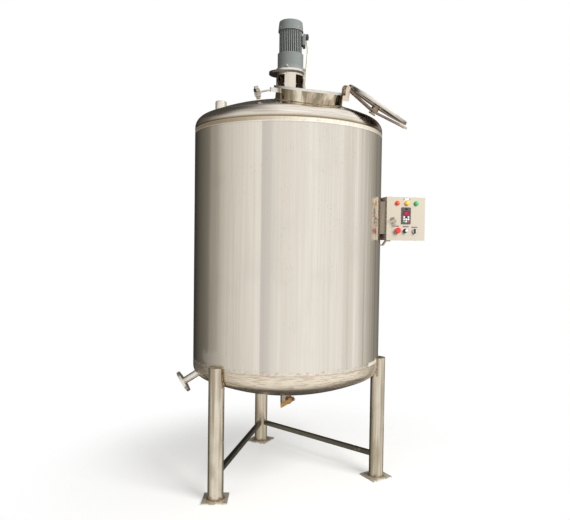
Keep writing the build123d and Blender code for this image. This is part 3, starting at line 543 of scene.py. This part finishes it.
def leg_weld(angle):
    """Where a leg meets the tank: across its cap, down its side and under the knuckle, round to
    the start. On the knuckle the height comes from the ring that its section turns about."""
    half = 2 * math.asin(leg_radius / 2 / tank_radius)
    over = swung(tank_radius, angle + np.linspace(-half, half, 16), leg_top)
    start = math.acos(-leg_radius / 2 / tank_radius)
    turn = angle + np.linspace(start, 2 * np.pi - start, 90)
    under = swung(tank_radius, angle, 0) + swung(leg_radius, turn, 0)
    inward = np.clip(np.linalg.norm(under, axis=1) - knuckle_reach, 0, knuckle_radius)
    under[:, 2] = low_knuckle - np.sqrt(knuckle_radius ** 2 - inward ** 2)
    return np.concatenate([over, under, over[:1]])


weld_steel = Finish("weld_steel")
weld_steel.coat(
    color=weld_steel.node("ValToRGB", {"stops": (
        (0.3, (0.16, 0.11, 0.07)), (0.45, (0.42, 0.30, 0.18)), (0.6, (0.60, 0.52, 0.40)),
        (0.75, (0.50, 0.36, 0.22)))}, {0: weld_steel.noise(45.0)}),
    roughness=0.3 + weld_steel.noise(200.0) * 0.25,
    metallic=1.0, height=weld_steel.noise(600.0), depth=0.0004)

manhole = plane(manhole_middle, swung(1, manhole_turn + np.pi / 2, 0), manhole_normal)
neck_drop = math.sqrt(crown_radius ** 2 - neck_radius ** 2) - crown_radius
lantern_foot = crown_centre + math.sqrt(crown_radius ** 2 - lantern_radius ** 2)
leg_top, foot_top = 0.838, 0.010
socket_place = np.array([-0.480, 0, 0])
socket_ring = ring_path(0.039, 0.0) + socket_place
socket_ring[:, 2] = crown_centre + np.sqrt(crown_radius ** 2 - (socket_ring[:, :2] ** 2).sum(1))
drain_turn, drain_slope = math.radians(190.0), math.radians(31.5)
drain_reach, drain_height, drain_foot, outlet_top = 0.585, 0.741, 0.039, 0.582
drain_run = swung(math.cos(drain_slope), drain_turn, -math.sin(drain_slope))
drain = plane(swung(drain_reach, drain_turn, drain_height), swung(1, drain_turn + np.pi / 2, 0), drain_run)
pipe_ring, upright = 0.0242, (0, 0, 1)
wide_bead, seam_bead = 0.0045, 0.0018
neck_seam, seam_ends = -2.12, np.array([-0.018, 0.052])
welds = [
    bead(ring_path(neck_radius, neck_drop, manhole), on_crown, wide_bead),
    bead(ring_path(lantern_radius, lantern_foot), on_crown, wide_bead),
    bead(socket_ring, on_crown)]
welds += [bead(leg_weld(angle), on_side, wide_bead) for angle in leg_angles]
welds += [bead(ring_path(leg_radius, foot_top) + place, upright, 0.004) for place in leg_places]
welds += [
    bead(ring_path(pipe_ring, drain_foot, drain), drain_run),
    bead(ring_path(pipe_ring, outlet_top), upright),
    bead(moved(swung(neck_radius, neck_seam, seam_ends), manhole), (0, -1, 0), seam_bead)]
weld = surface("welds", welds, weld_steel, 60)
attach(weld, "tank")


# Legs, foot plates and braces
# Satin stainless pipe with a flat cap, on 10 mm plates with open bolt holes. The braces are square
# tube, duller and darker, welded between the back leg and the other two.
pipe = steel("pipe_steel", (0.84, 0.76, 0.63), (0.48, 0.41, 0.30), (0.10, 0.24), 0.0015, (1, 1, 0.03))
runs = pipe.noise(30.0, (1, 1, 0.05), 3.0).rise(0.47, 0.64)
splash = pipe.noise(18.0, (1, 1, 0.35), 4.0).rise(0.5, 0.66)
low_down = 1 - pipe.z.rise(0.05, 0.45)
pipe.coat(
    color=pipe.layers(
        pipe.base,
        heat(pipe, abs(pipe.from_axis() - tank_radius) + (1 - pipe.z.rise(0.66, 0.72)) * 0.1, 0.016, 0.7),
        (runs * 0.7, (0.33, 0.265, 0.175)),
        (pipe.noise(7.0, (1, 1, 0.6), 4.0).rise(0.5, 0.7) * 0.4, (0.42, 0.37, 0.28)),
        (splash * (0.15 + low_down * 0.4), (0.30, 0.245, 0.165)),
        heat(pipe, abs(pipe.z - foot_top), 0.012, 0.8)),
    roughness=pipe.gloss + splash * 0.15 + runs * 0.08,
    metallic=1 - splash * 0.3, height=pipe.wave, depth=1.0)
pipe.dress("leg_front_left", "leg_right", "leg_back")

foot = steel("foot_steel", (0.92, 0.88, 0.78), (0.66, 0.61, 0.50), (0.3, 0.5), 0.0015, (1, 1, 1))
dirt = foot.noise(26.0, (1, 1, 1), 4.0).rise(0.46, 0.62)
foot.coat(
    color=foot.layers(foot.base, (dirt * 0.7, (0.24, 0.20, 0.13)), heat(foot, from_legs(foot), 0.016, 0.8)),
    roughness=foot.gloss + dirt * 0.2,
    metallic=0.75 - dirt * 0.4, height=foot.wave + dirt * 0.0003, depth=1.0)
foot.dress("foot_front_left", "foot_right", "foot_back")

brace = steel("brace_steel", (0.20, 0.19, 0.145), (0.10, 0.09, 0.065), (0.26, 0.42), 0.001, (0.2, 0.2, 3))
brace.coat(color=brace.mix(brace.noise(22.0).rise(0.55, 0.75), brace.base, (0.30, 0.24, 0.17)),
           roughness=brace.gloss, metallic=1.0, height=brace.wave, depth=1.0)
brace.dress("brace_left", "brace_right")


# Manhole
# A polished neck rolled from plate with one upright seam, a flat rim welded on it for the gasket,
# and the ears of the hinge and of the swing bolt.
neck = steel("neck_steel", (0.74, 0.62, 0.47), (0.34, 0.26, 0.18), (0.05, 0.16), 0.004, (1, 1, 0.3))
# Upright bright and dark streaks on the polished neck are painted reflections.
neck_reflection_streaks = neck.noise(21.0, (1, 1, 0.12), 2.0)
neck.coat(
    color=neck.layers(neck.base, (neck_reflection_streaks.rise(0.48, 0.58), (0.82, 0.74, 0.58)),
                      ((1 - neck_reflection_streaks.rise(0.36, 0.45)) * 0.7, (0.20, 0.19, 0.12))),
    roughness=neck.gloss, metallic=1.0, height=neck.wave, depth=1.0)
neck.dress("manhole_neck")


def bare(*sizes, metallic=1.0):
    """Stainless steel with nothing on it, from the same sizes as steel()."""
    made = steel(*sizes)
    return made.coat(color=made.base, roughness=made.gloss, metallic=metallic, height=made.wave, depth=1.0)


rim_steel = bare("rim_steel", (0.86, 0.85, 0.80), (0.72, 0.69, 0.63), (0.2, 0.36), 0.0006, (1, 1, 1))
rim_steel.dress("manhole_rim", "clamp_ears")
bar_steel = bare("bar_steel", (0.80, 0.66, 0.53), (0.60, 0.44, 0.32), (0.16, 0.3), 0.0012, (1, 1, 1), 0.0)
bar_steel.dress("lid_hinge", "lid_strap")


# Lid
# A shallow dished lid, mirror polished outside, with a rolled band and a cream rubber gasket. It
# hangs open on its strap, rocking on the stud in its middle.
def turned(axis, degrees, middle=(0, 0, 0)):
    """4 x 4 matrix of a turn about the X or Y direction through a point."""
    turn = np.array(Matrix.Rotation(math.radians(degrees), 4, axis))
    turn[:3, 3] = middle - turn[:3, :3] @ middle
    return turn


lid_hinge_pin, lid_stud = (0.250, 0, 0.102), (0, 0, 0.132)
lid_place = manhole @ turned("Y", 205, lid_hinge_pin) @ turned("X", -8, lid_stud)
lid_crown, lid_top, lid_plate = 1.8963, 0.105, 0.003
# The polished outer face is painted near black, as the dark that it reflects.
lid = steel("lid_steel", (0.17, 0.145, 0.12), (0.08, 0.065, 0.05), (0.03, 0.10), 0.002, (1, 1, 1), 0.0)
lid_x, lid_y, lid_z = (
    lid.along(lid_place[:3, axis]) - lid_place[:3, axis] @ lid_place[:3, 3] for axis in range(3))
lid_reach = (lid_x * lid_x + lid_y * lid_y).apply("SQRT")
# The lower half of the rolled band is painted pale, as a highlight round the rim; its upper half stays dark
# like the face.
rim_highlight = lid_reach.rise(0.219, 0.223) * (1 - lid_z.rise(0.079, 0.081))
from_centre = (lid_reach * lid_reach + (lid_z - (lid_top - lid_crown)).apply("POWER", 2.0)).apply("SQRT")
inner_face = 1 - from_centre.rise(lid_crown - lid_plate * 0.7, lid_crown - lid_plate * 0.3)
lid.coat(
    color=lid.layers(lid.base, ((1 - lid_reach.rise(0.028, 0.036)) * 0.7, (0.45, 0.34, 0.24)),
                     (inner_face, (0.66, 0.61, 0.53)), (rim_highlight, (0.88, 0.83, 0.75))),
    roughness=lid.gloss + rim_highlight * 0.14, metallic=1.0, height=lid.wave, depth=1.0)
lid.dress("lid")

rubber = Finish("seal_rubber")
rubber.coat(color=rubber.mix(rubber.noise(30).rise(0.5, 0.8), (0.84, 0.82, 0.76), (0.62, 0.58, 0.50)),
            roughness=0.6 + rubber.noise(80) * 0.2, height=rubber.noise(500), depth=0.0003)
rubber.dress("lid_gasket")


# Swing bolt and star knob
# A turned eye bolt with rolled thread, and a cast stainless star knob polished bright on its lobes.
# The bolt hangs open from its pin in the clamp ears.
bolt_pin, bolt_swing = (-0.250, 0, 0.038), -107.0
bolt_place = manhole @ turned("Y", bolt_swing)
bolt_place[:3, 3] = moved(bolt_pin, manhole)


def thread(radius, low, high, pitch, depth, place):
    """Points of a screw thread: a three-sided bar wound round Z, one turn per pitch, fading out at
    both ends."""
    turns = np.linspace(0, 1, int((high - low) / pitch * 20))
    line = swung(radius, turns * (high - low) / pitch * 2 * np.pi, low + turns * (high - low))
    size = depth * np.clip(np.minimum(turns, 1 - turns) * 12, 0.05, 1)
    return moved(tube(line, size, 4), place)


bolt_steel = bare("bolt_steel", (0.80, 0.76, 0.68), (0.62, 0.57, 0.49), (0.15, 0.3), 0.0003, (1, 1, 1))
bolt_steel.dress("swing_bolt")
bolt_thread = surface("bolt_thread", [thread(0.0048, 0.026, 0.072, 0.0025, 0.0009, bolt_place)], bolt_steel)
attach(bolt_thread, "swing_bolt")

knob_steel = steel("knob_steel", (0.80, 0.74, 0.66), (0.42, 0.36, 0.29), (0.06, 0.18), 0.002, (1, 1, 1), 0.0)
knob_steel.coat(color=knob_steel.base, roughness=knob_steel.gloss, metallic=1.0,
                height=knob_steel.wave + knob_steel.noise(120) * 0.0003, depth=1.0)
knob_steel.dress("star_knob")


# Lantern and base plate
# The drive stands on a tube with four cut windows, under an egg-shaped plate of 16 mm and a turned
# ring. Inside are the seal housing, the shaft and its clamped coupling, with a bent sheet guard
# behind them.
bare("lantern_steel", (0.84, 0.77, 0.66), (0.58, 0.49, 0.38), (0.12, 0.26), 0.002, (1, 1, 0.05)).dress(
    "lantern", "shaft_seal")
# The base plate's steel is painted near black, as the shade on its edge and underside.
bare("plate_steel", (0.22, 0.195, 0.155), (0.07, 0.06, 0.045), (0.14, 0.3), 0.0008, (1, 1, 1), 0.0).dress(
    "drive_plate")
bare("ring_steel", (0.86, 0.84, 0.79), (0.70, 0.68, 0.63), (0.16, 0.28), 0.0002, (0.05, 0.05, 1)).dress(
    "flange_ring")
# The shaft and impeller are painted dark, as the shade inside the lantern.
bare("shaft_steel", (0.30, 0.26, 0.20), (0.14, 0.115, 0.085), (0.2, 0.34), 0.0003, (1, 1, 8)).dress(
    "agitator_shaft", "impeller")

guard_steel = bare("guard_steel", (0.62, 0.54, 0.45), (0.28, 0.24, 0.19), (0.3, 0.45), 0.001, (1, 1, 0.1))
guard_outer, guard_inner, guard_low, guard_high = 0.0865, 0.0850, 2.641, 2.787
guard_section = np.array([
    (guard_outer, guard_low), (guard_outer, guard_high), (guard_inner, guard_high), (guard_inner, guard_low),
    (guard_outer, guard_low)])
coupling_guard = surface("coupling_guard", [swung(
    guard_section[:, :1], np.radians(np.linspace(-14, 194, 61)), guard_section[:, 1:])], guard_steel)
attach(coupling_guard, "tank")


# Gear motor
# Cast aluminium gear case and ribbed motor body under a pressed fan cowl, all in grey enamel, with
# bright screws. Its four foot bolts go down through the ring and the plate.
enamel = Finish("motor_enamel")
enamel_spots = enamel.noise(500.0, (1, 1, 1), 2.0)
worn = enamel.noise(26.0).rise(0.62, 0.74)
upright_dust = enamel.z.near(2.840, 0.02) + enamel.z.near(3.094, 0.012)
slot_count = 24
slot_turn = enamel.x.apply("ARCTAN2", enamel.y) * (slot_count / (2 * math.pi))
slot_edge = abs(slot_turn.apply("FRACT") - 0.5).rise(0.18, 0.26)
cap_reach = enamel.from_axis()
slot_rings = cap_reach.near(0.034, 0.010).rise(0.2, 0.4) + cap_reach.near(0.060, 0.011).rise(0.2, 0.4)
air_slots = (1 - slot_edge) * slot_rings * enamel.z.rise(3.1645, 3.1655)
ribbed = enamel.z.rise(2.939, 2.941) * (1 - enamel.z.rise(3.095, 3.097)) * (1 - enamel.x.rise(0.084, 0.086))
enamel.coat(
    color=enamel.layers(
        (0.155, 0.172, 0.161),
        (enamel.noise(9.0), (0.200, 0.217, 0.205)),
        (upright_dust * 0.3, (0.32, 0.31, 0.27)),
        (worn * 0.25, (0.27, 0.29, 0.27)),
        # The air slots are painted near black, as the shade inside them.
        (air_slots, (0.012, 0.012, 0.012)),
        # Painted shade in the grooves between the fins of the ribbed body, and a painted highlight on the
        # fins' tips.
        (ribbed * (1 - cap_reach.rise(0.0735, 0.0775)), (0.035, 0.04, 0.037)),
        (ribbed * cap_reach.rise(0.0785, 0.0798) * 0.6, (0.36, 0.385, 0.36))),
    roughness=0.36 + enamel_spots * 0.2, height=enamel_spots * 0.00008 - air_slots * 0.002, depth=1.0)
enamel.dress("gearbox", "motor_stator", "fan_cowl", "terminal_box")

zinc = Finish("zinc_plating")
zinc.coat(color=zinc.mix(zinc.noise(90), (0.86, 0.86, 0.84), (0.68, 0.67, 0.62)),
          roughness=0.22 + zinc.noise(160) * 0.15, metallic=1.0, height=zinc.noise(700), depth=0.0001)


def lathe(profile, count=48):
    """Points of a turned piece: (radius, height) pairs swung round Z in so many steps."""
    profile = np.array(profile, float)
    return swung(profile[:, :1], steps_round(count), profile[:, 1:])


def pan_screw(radius, height):
    """Half section of a pan head, rounded at its edge, with a shallow recess in the middle."""
    return [(0, height * 0.55), (radius * 0.3, height * 0.55), (radius * 0.42, height),
            (radius * 0.72, height * 0.96), (radius * 0.93, height * 0.72), (radius, height * 0.35),
            (radius, 0), (0, 0)]


def hexagon(radius, low, high):
    """Half section of a hexagon head or nut, chamfered above and below."""
    bevel = 0.0008
    return [(0, low), (radius - bevel, low), (radius, low + bevel), (radius, high - bevel),
            (radius - bevel * 2, high), (0, high)]


cowl_screws = [
    moved(lathe(pan_screw(0.0048, 0.0032), 20), plane(
        swung(0.0855, angle, 3.116), (0, 0, 1), swung(1, angle, 0.05)))
    for angle in np.radians([-142.0, -52.0, 38.0, 128.0])]
box_screws = [
    moved(lathe(pan_screw(0.0038, 0.0026), 20), plane((0.1035, y, z), (0, 0, 1), (1, 0, 0)))
    for y in (-0.037, 0.037) for z in (3.006, 3.068)]
foot_angles = np.radians([-103.0, -13.0, 77.0, 167.0])
washer = [(0, 2.838), (0.0105, 2.838), (0.0105, 2.840), (0, 2.840)]
bolt_end = [(0, 2.774), (0.0045, 2.774), (0.005, 2.776), (0.005, 2.79), (0, 2.79)]
bolt_pieces = (
    (washer, 28), (hexagon(0.0092, 2.840, 2.8465), 6), (hexagon(0.0092, 2.787, 2.795), 6), (bolt_end, 20))
foot_bolts = [
    lathe(section, sides) + swung(0.0945, angle, 0)
    for angle in foot_angles for section, sides in bolt_pieces]
motor_screws = surface("motor_screws", cowl_screws + box_screws + foot_bolts, zinc)
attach(motor_screws, "tank")

lug = lathe([(0, 2.8265), (0.0135, 2.8265), (0.0135, 2.8365), (0.0125, 2.838), (0, 2.838)], 32)
lugs = surface("gear_foot_lugs", [lug + swung(0.0925, angle, 0) for angle in foot_angles], enamel)
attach(lugs, "tank")

coupling_screws = surface("coupling_screws", [
    moved(lathe(pan_screw(0.0075, 0.006), 20), plane(swung(0.0415, angle, z), (0, 0, 1), swung(1, angle, 0)))
    for angle in np.radians([20.0, 160.0, 200.0, 340.0]) for z in (2.690, 2.738)], zinc)
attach(coupling_screws, "agitator")


# Cable glands
# Black nylon glands with a hexagon body and a ribbed dome nut that squeezes a seal onto the cable;
# the upper one has a tarnished brass locknut against the terminal box.
nylon = Finish("gland_nylon")
nylon.coat(color=nylon.mix(nylon.noise(50), (0.022, 0.022, 0.022), (0.045, 0.044, 0.040)),
           roughness=0.38 + nylon.noise(120) * 0.2, height=nylon.noise(900), depth=0.0001)
nylon.dress("cable_gland", "box_gland")
box_turn = math.radians(9.0)
box_across, box_back = swung(1, box_turn, 0), swung(1, box_turn + np.pi / 2, 0)
box_corner = np.array([0.678, -0.139, 1.652])
upper_gland = plane((0.1145, 0, 3.0855), (1, 0, 0), (0, 0, -1))
lower_gland = plane(box_corner + 0.110 * box_across + 0.140 * box_back + [0, 0, 0.150], (0, 0, 1), box_back)


def dome_nut(radius, low, high):
    """Points of a ribbed dome nut: a cylinder whose side waves 18 times round, drawn in over its
    last third to the cable's hole."""
    hole = 0.0078
    height = np.array([low, low, high - (high - low) * 0.45, high - (high - low) * 0.15, high, high])[:, None]
    reach = np.array([hole, radius, radius * 0.98, radius * 0.86, radius * 0.74, hole])[:, None]
    angle = steps_round(144)
    return swung(reach * (1 + 0.035 * np.cos(18 * angle) * (reach > hole)), angle, height)


gland_nuts = surface("gland_nuts", [
    moved(lathe(hexagon(0.0128, 0.013, 0.021), 6), upper_gland),
    moved(dome_nut(0.0112, 0.023, 0.043), upper_gland),
    moved(lathe(hexagon(0.0172, 0.001, 0.009), 6), lower_gland),
    moved(dome_nut(0.0152, 0.012, 0.033), lower_gland)], nylon)
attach(gland_nuts, "tank")
tarnish = Finish("tarnished_brass")
tarnish.coat(color=tarnish.mix(tarnish.noise(140), (0.30, 0.28, 0.10), (0.16, 0.20, 0.09)),
             roughness=0.4, metallic=0.8)
locknut = surface("gland_locknut", [moved(lathe(hexagon(0.0125, 0.0, 0.005), 6), plane(
    (0.1038, 0, 3.0755), (0, 0, 1), (1, 0, 0)))], tarnish)
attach(locknut, "tank")


# Top socket, drain and outlet
# A turned half coupling with an inside thread, a flanged drain pipe at the knuckle and a short
# stub to the ball valve, all in stainless steel.
fitting_steel = bare(
    "fitting_steel", (0.90, 0.86, 0.77), (0.70, 0.64, 0.54), (0.10, 0.22), 0.0008, (1, 1, 1), metallic=0.75)
fitting_steel.dress("top_socket", "drain_nozzle", "outlet_pipe")
socket_top = crown_centre + math.sqrt(crown_radius ** 2 - socket_place[0] ** 2) + 0.088
socket_thread = surface("socket_thread", [thread(
    0.0290, -0.030, -0.003, 0.0023, 0.0009, plane(socket_place + [0, 0, socket_top], (1, 0, 0), (0, 0, 1)))],
    fitting_steel)
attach(socket_thread, "tank")


# Ball valve
# A polished three-piece ball valve with a steel handle dipped in orange plastic. The handle is worn
# brown along its middle, and its nut is bright in the end.
bare("valve_steel", (0.56, 0.51, 0.43), (0.36, 0.31, 0.24), (0.14, 0.3), 0.0012, (1, 1, 1)).dress(
    "valve_body")
crank = math.radians(12)
stem_run = swung(1, math.radians(-45), 0)
handle_run = swung(math.cos(crank), math.radians(225), -math.sin(crank))
handle_side = np.cross(stem_run, handle_run)
valve_middle = np.array([0, 0, 0.520])
dip = Finish("handle_dip")
out_reach = dip.along(stem_run)
handle_reach = dip.along(handle_run) - valve_middle @ handle_run
handle_across = abs(dip.along(handle_side) - valve_middle @ handle_side)
rubbed = dip.noise(70.0).rise(0.38, 0.6) * (1 - handle_across.rise(0.005, 0.012))
rubbed = rubbed * (1 - handle_reach.rise(0.070, 0.105))
bare_metal = 1 - out_reach.rise(0.0648, 0.0652) * (1 - out_reach.rise(0.0718, 0.0722))
dip.coat(
    color=dip.layers(
        (1.0, 0.42, 0.004), (rubbed * 0.22, (0.70, 0.27, 0.02)),
        (handle_reach.rise(0.085, 0.12) * 0.7, (1.0, 0.50, 0.006)), (bare_metal, (0.36, 0.32, 0.25))),
    roughness=0.34 + dip.noise(200) * 0.15, metallic=bare_metal, height=dip.noise(300), depth=0.0002)
dip.dress("valve_lever")
stem_section = [(0, 0.0905), (0.003, 0.0902), (0.0052, 0.0890), (0.0056, 0.0875), (0, 0.0875)]
stem_place = plane(valve_middle, (0, 0, 1), stem_run)
stem_end = surface("stem_end", [moved(lathe(stem_section, 24), stem_place)], zinc)
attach(stem_end, "valve_lever")


# Control box
# A folded steel housing and a shallow door, powder coated cream with a light orange-peel texture,
# on a plate and a cranked strut.
cream = Finish("cream_powder_coat")
cream_dust = cream.noise(11.0, (1, 1, 0.4)).rise(0.5, 0.8)
cream.coat(color=cream.mix(cream_dust * 0.5, (0.53, 0.475, 0.385), (0.48, 0.425, 0.335)),
           roughness=0.42 + cream.noise(300) * 0.12, height=cream.noise(420.0, (1, 1, 1), 1.0), depth=0.00025)
cream.dress("control_box", "box_door")
bare("bracket_steel", (0.42, 0.35, 0.27), (0.27, 0.22, 0.165), (0.24, 0.4), 0.001, (1, 1, 0.1)).dress(
    "box_bracket", "box_strut")

barrel = np.array([(0, 0), (0.0045, 0), (0.005, 0.0005), (0.005, 0.0345), (0.0045, 0.035), (0, 0.035)])
hinge_line = plane(box_corner + 0.2735 * box_across + 0.0210 * box_back, (1, 0, 0), (0, 0, 1))
hinges = surface("door_hinges", [
    moved(lathe(barrel + [0, low], 20), hinge_line) for low in (0.045, 0.220)], cream)
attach(hinges, "tank")


# Signal lamps
# Three domed plastic lenses, red, yellow and green, with fine ribs inside that catch the light, in
# bezels of their own colour.
door = plane(box_corner, box_across, -box_back)
lamp_high = 0.258
for name, color, lit, across in (
        ("red", (0.80, 0.03, 0.012), (1.0, 0.30, 0.02), 0.076),
        ("yellow", (0.86, 0.42, 0.008), (1.0, 0.78, 0.05), 0.145),
        ("green", (0.015, 0.36, 0.10), (0.10, 0.62, 0.24), 0.213)):
    lens_finish = Finish("lamp_lens_" + name)
    from_rib_centre = lens_finish.from_point(moved([across, lamp_high, 0.010], door))
    # A painted glint: each lens turns to its lighter tint at a spot up and to the right of its middle.
    from_painted_glint = lens_finish.from_point(moved([across + 0.004, lamp_high + 0.004, 0.015], door))
    lens_finish.coat(color=lens_finish.mix(1 - from_painted_glint.rise(0.002, 0.009), color, lit), roughness=0.12,
                     height=(from_rib_centre * 2600).apply("SINE"), depth=0.00015, Coat_Weight=0.4,
                     Emission_Color=color, Emission_Strength=0.12)
    lens_finish.dress("lamp_" + name)


# Speed display
# A drive's keypad in dark grey plastic: a recessed window with a lit red reading, a small dark
# sensor eye above it and nine rubber keys below.
plastic = Finish("keypad_plastic")
plastic.coat(
    color=plastic.mix(plastic.noise(60), (0.060, 0.055, 0.062), (0.095, 0.088, 0.095)),
    roughness=0.45 + plastic.noise(300) * 0.15, height=plastic.noise(800), depth=0.0001)
plastic.dress("keypad")
keypad_top = 0.006
pad_across, pad_high = 0.140, 0.172


def plain(name, color, roughness, metallic=0.0, **fixed):
    """Moulded or painted finish: the colour clouded a little, with a fine grain."""
    made = Finish(name)
    made.coat(color=made.mix(made.noise(80), color, tuple(value * 0.82 for value in color)),
              roughness=roughness + made.noise(240) * 0.12, metallic=metallic,
              height=made.noise(900), depth=0.0001, **fixed)
    return made


def on_door(points, across, high):
    """Points of a small part on the door: X across, Y up and Z out, from the door's lower left corner."""
    return moved(points + [across, high, 0], door)


def slab(width, height, thick, corner, low=0.0):
    """Points of a flat plate with rounded corners: outlines drawn in to its middle at the back, up
    the edge and over the front."""
    bevel, count = 0.0006, 8
    quarter = np.repeat(np.arange(4), count)
    turn = quarter * np.pi / 2 + np.tile(np.linspace(0, np.pi / 2, count), 4)
    middle = np.stack([np.where((quarter == 0) | (quarter == 3), 1, -1) * (width / 2 - corner),
                       np.where(quarter < 2, 1, -1) * (height / 2 - corner)], -1)
    edge = np.stack([np.cos(turn), np.sin(turn)], -1)
    rows = []
    for reach, z in ((None, low), (corner, low), (corner, low + thick - bevel), (corner - bevel, low + thick),
                     (None, low + thick)):
        flat = middle * 0 if reach is None else middle + edge * reach
        rows.append(np.column_stack([flat, np.full(len(flat), z)]))
    grid = np.stack(rows)
    return np.concatenate([grid, grid[:, :1]], 1)


glass_black = plain("display_glass", (0.006, 0.006, 0.007), 0.08)
glass = surface("display_glass", [
    on_door(slab(0.044, 0.026, 0.0012, 0.0025, keypad_top), pad_across, pad_high + 0.016),
    on_door(slab(0.020, 0.010, 0.0012, 0.004, keypad_top), pad_across, pad_high + 0.045)], glass_black)
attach(glass, "box_door")

segment_lines = {"a": (0, 1, 1, 1), "b": (1, 1, 1, 0), "c": (1, 0, 1, -1), "d": (0, -1, 1, -1),
                 "e": (0, 0, 0, -1), "f": (0, 1, 0, 0), "g": (0, 0, 1, 0)}
digits = {"0": "abcdef", "5": "acdfg"}
digit_width, digit_height, digit_pitch, digit_front = 0.006, 0.016, 0.0092, 0.0075
first_digit = pad_across - 0.017
reading = []
for index, digit in enumerate("5000"):
    for segment in digits[digit]:
        line = np.array(segment_lines[segment]).reshape(2, 2) * [digit_width, digit_height / 2]
        line = np.column_stack([line, [digit_front, digit_front]])
        line += [first_digit + index * digit_pitch, pad_high + 0.016, 0]
        line += (line[::-1] - line) * 0.12
        reading.append(moved(tube(line, 0.0009), door))
lit_red = plain(
    "display_red", (0.90, 0.02, 0.06), 0.4, Emission_Color=(1.0, 0.03, 0.08), Emission_Strength=0.9)
numbers = surface("display_reading", reading, lit_red)
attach(numbers, "box_door")

key_colors = {
    "pale": ((0.78, 0.79, 0.82), [(0, 0), (2, 0), (0, 1), (1, 1), (2, 1), (1, 2)]),
    "black": ((0.01, 0.01, 0.012), [(1, 0)]), "green": ((0.20, 0.52, 0.10), [(0, 2)]),
    "red": ((0.72, 0.045, 0.03), [(2, 2)])}
key_step, key_drop, top_row = 0.0158, 0.0155, pad_high - 0.010
key_dome = slab(0.0125, 0.0115, 0.0018, 0.002, keypad_top)
for tone, (color, cells) in key_colors.items():
    keys = surface("keys_" + tone, [
        on_door(key_dome, pad_across + (column - 1) * key_step, top_row - row * key_drop)
        for column, row in cells], plain("key_" + tone, color, 0.4))
    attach(keys, "box_door")


# Name plates
# Blank plastic strips fixed over the three lower controls, and a white one between dark ends at
# the door's top edge.
strip_paint = plain("name_strip", (0.20, 0.15, 0.16), 0.35)
strips = surface("name_strips", [
    on_door(slab(0.044, 0.0085, 0.0008, 0.001), across, high)
    for across, high in ((0.068, 0.098), (0.139, 0.096), (0.203, 0.092))], strip_paint)
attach(strips, "box_door")
strip_high = 0.286
top_strip = surface("top_strip", [on_door(slab(0.034, 0.010, 0.0009, 0.001), 0.145, strip_high)],
                    plain("white_strip", (0.82, 0.82, 0.82), 0.35))
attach(top_strip, "box_door")
strip_ends = surface("strip_ends", [
    on_door(slab(0.007, 0.010, 0.0011, 0.003), across, strip_high)
    for across in (0.1245, 0.1655)], strip_paint)
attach(strip_ends, "box_door")


# Door lock
# A round cam lock in chromed zinc with its key in it, and the spare key on the same wire ring.
chrome = plain("chrome_plate", (0.93, 0.90, 0.83), 0.14, 1.0)
chrome.dress("door_lock", "stop_base")
key_steel = plain("key_steel", (0.56, 0.50, 0.40), 0.25, 1.0)
lock_across, lock_high = 0.040, 0.150
lock_section = [
    (0, 0.0088), (0.0035, 0.0088), (0.0085, 0.0092), (0.0098, 0.0082), (0.0098, 0.0078), (0, 0.0078)]
lock_face = on_door(lathe(lock_section, 32), lock_across, lock_high)
blade = plane(moved([lock_across, lock_high, 0.008], door), (0, 0, 1), door[:3, 0])
hanging = plane(moved([0.054, 0.119, 0.020], door), door[:3, 0], door[:3, 2] + 0.25 * door[:3, 0])
key_points = [
    moved(slab(width, high, 0.002, corner, -0.001) + [0, middle, 0], place)
    for place, width, high, corner, middle in (
        (blade, 0.009, 0.020, 0.001, 0.010), (blade, 0.022, 0.018, 0.008, 0.028),
        (hanging, 0.021, 0.018, 0.008, 0.010), (hanging, 0.008, 0.026, 0.001, -0.010))]
ring_angle = steps_round(40)
key_ring = np.stack([0.049 + 0.009 * np.cos(ring_angle), 0.143 + 0.009 * np.sin(ring_angle),
                     0.030 - 0.012 * np.sin(ring_angle)], -1)
key_points.append(moved(tube(key_ring, 0.0007, 8, (0.3, 0.2, 1)), door))
keys = surface("lock_keys", [lock_face] + key_points, key_steel)
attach(keys, "box_door")


# Emergency stop, speed dial and selector
# Moulded switches: a red mushroom head, a black dial with a white pointer and a black bar handle
# on a white ring.
stop_red = plain("stop_red", (0.78, 0.035, 0.03), 0.22, Coat_Weight=0.2)
stop_red.dress("emergency_stop")
black = plain("switch_black", (0.02, 0.018, 0.018), 0.3)
black.dress("speed_knob", "selector")
white_paint = plain("switch_white", (0.82, 0.82, 0.80), 0.3)
pointer_section = [(0, 0.0183), (0.0085, 0.0183), (0.009, 0.0187), (0.0085, 0.0190), (0, 0.0190)]
pointer = surface("dial_pointer", [on_door(lathe(pointer_section, 32), 0.1395, 0.0675)], white_paint)
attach(pointer, "speed_knob")
scale_section = [(0.0175, 0.0), (0.0215, 0.0), (0.0215, 0.0006), (0.0175, 0.0006), (0.0175, 0.0)]
dial_scale = surface("dial_scale", [on_door(lathe(scale_section, 48), 0.135, 0.066)], white_paint)
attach(dial_scale, "box_door")
ring_section = [(0.0, 0.0083), (0.0140, 0.0083), (0.0150, 0.0080), (0.0150, 0.0060), (0.0, 0.0060)]
selector_ring = surface("selector_ring", [on_door(lathe(ring_section, 40), 0.203, 0.065)], white_paint)
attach(selector_ring, "selector")
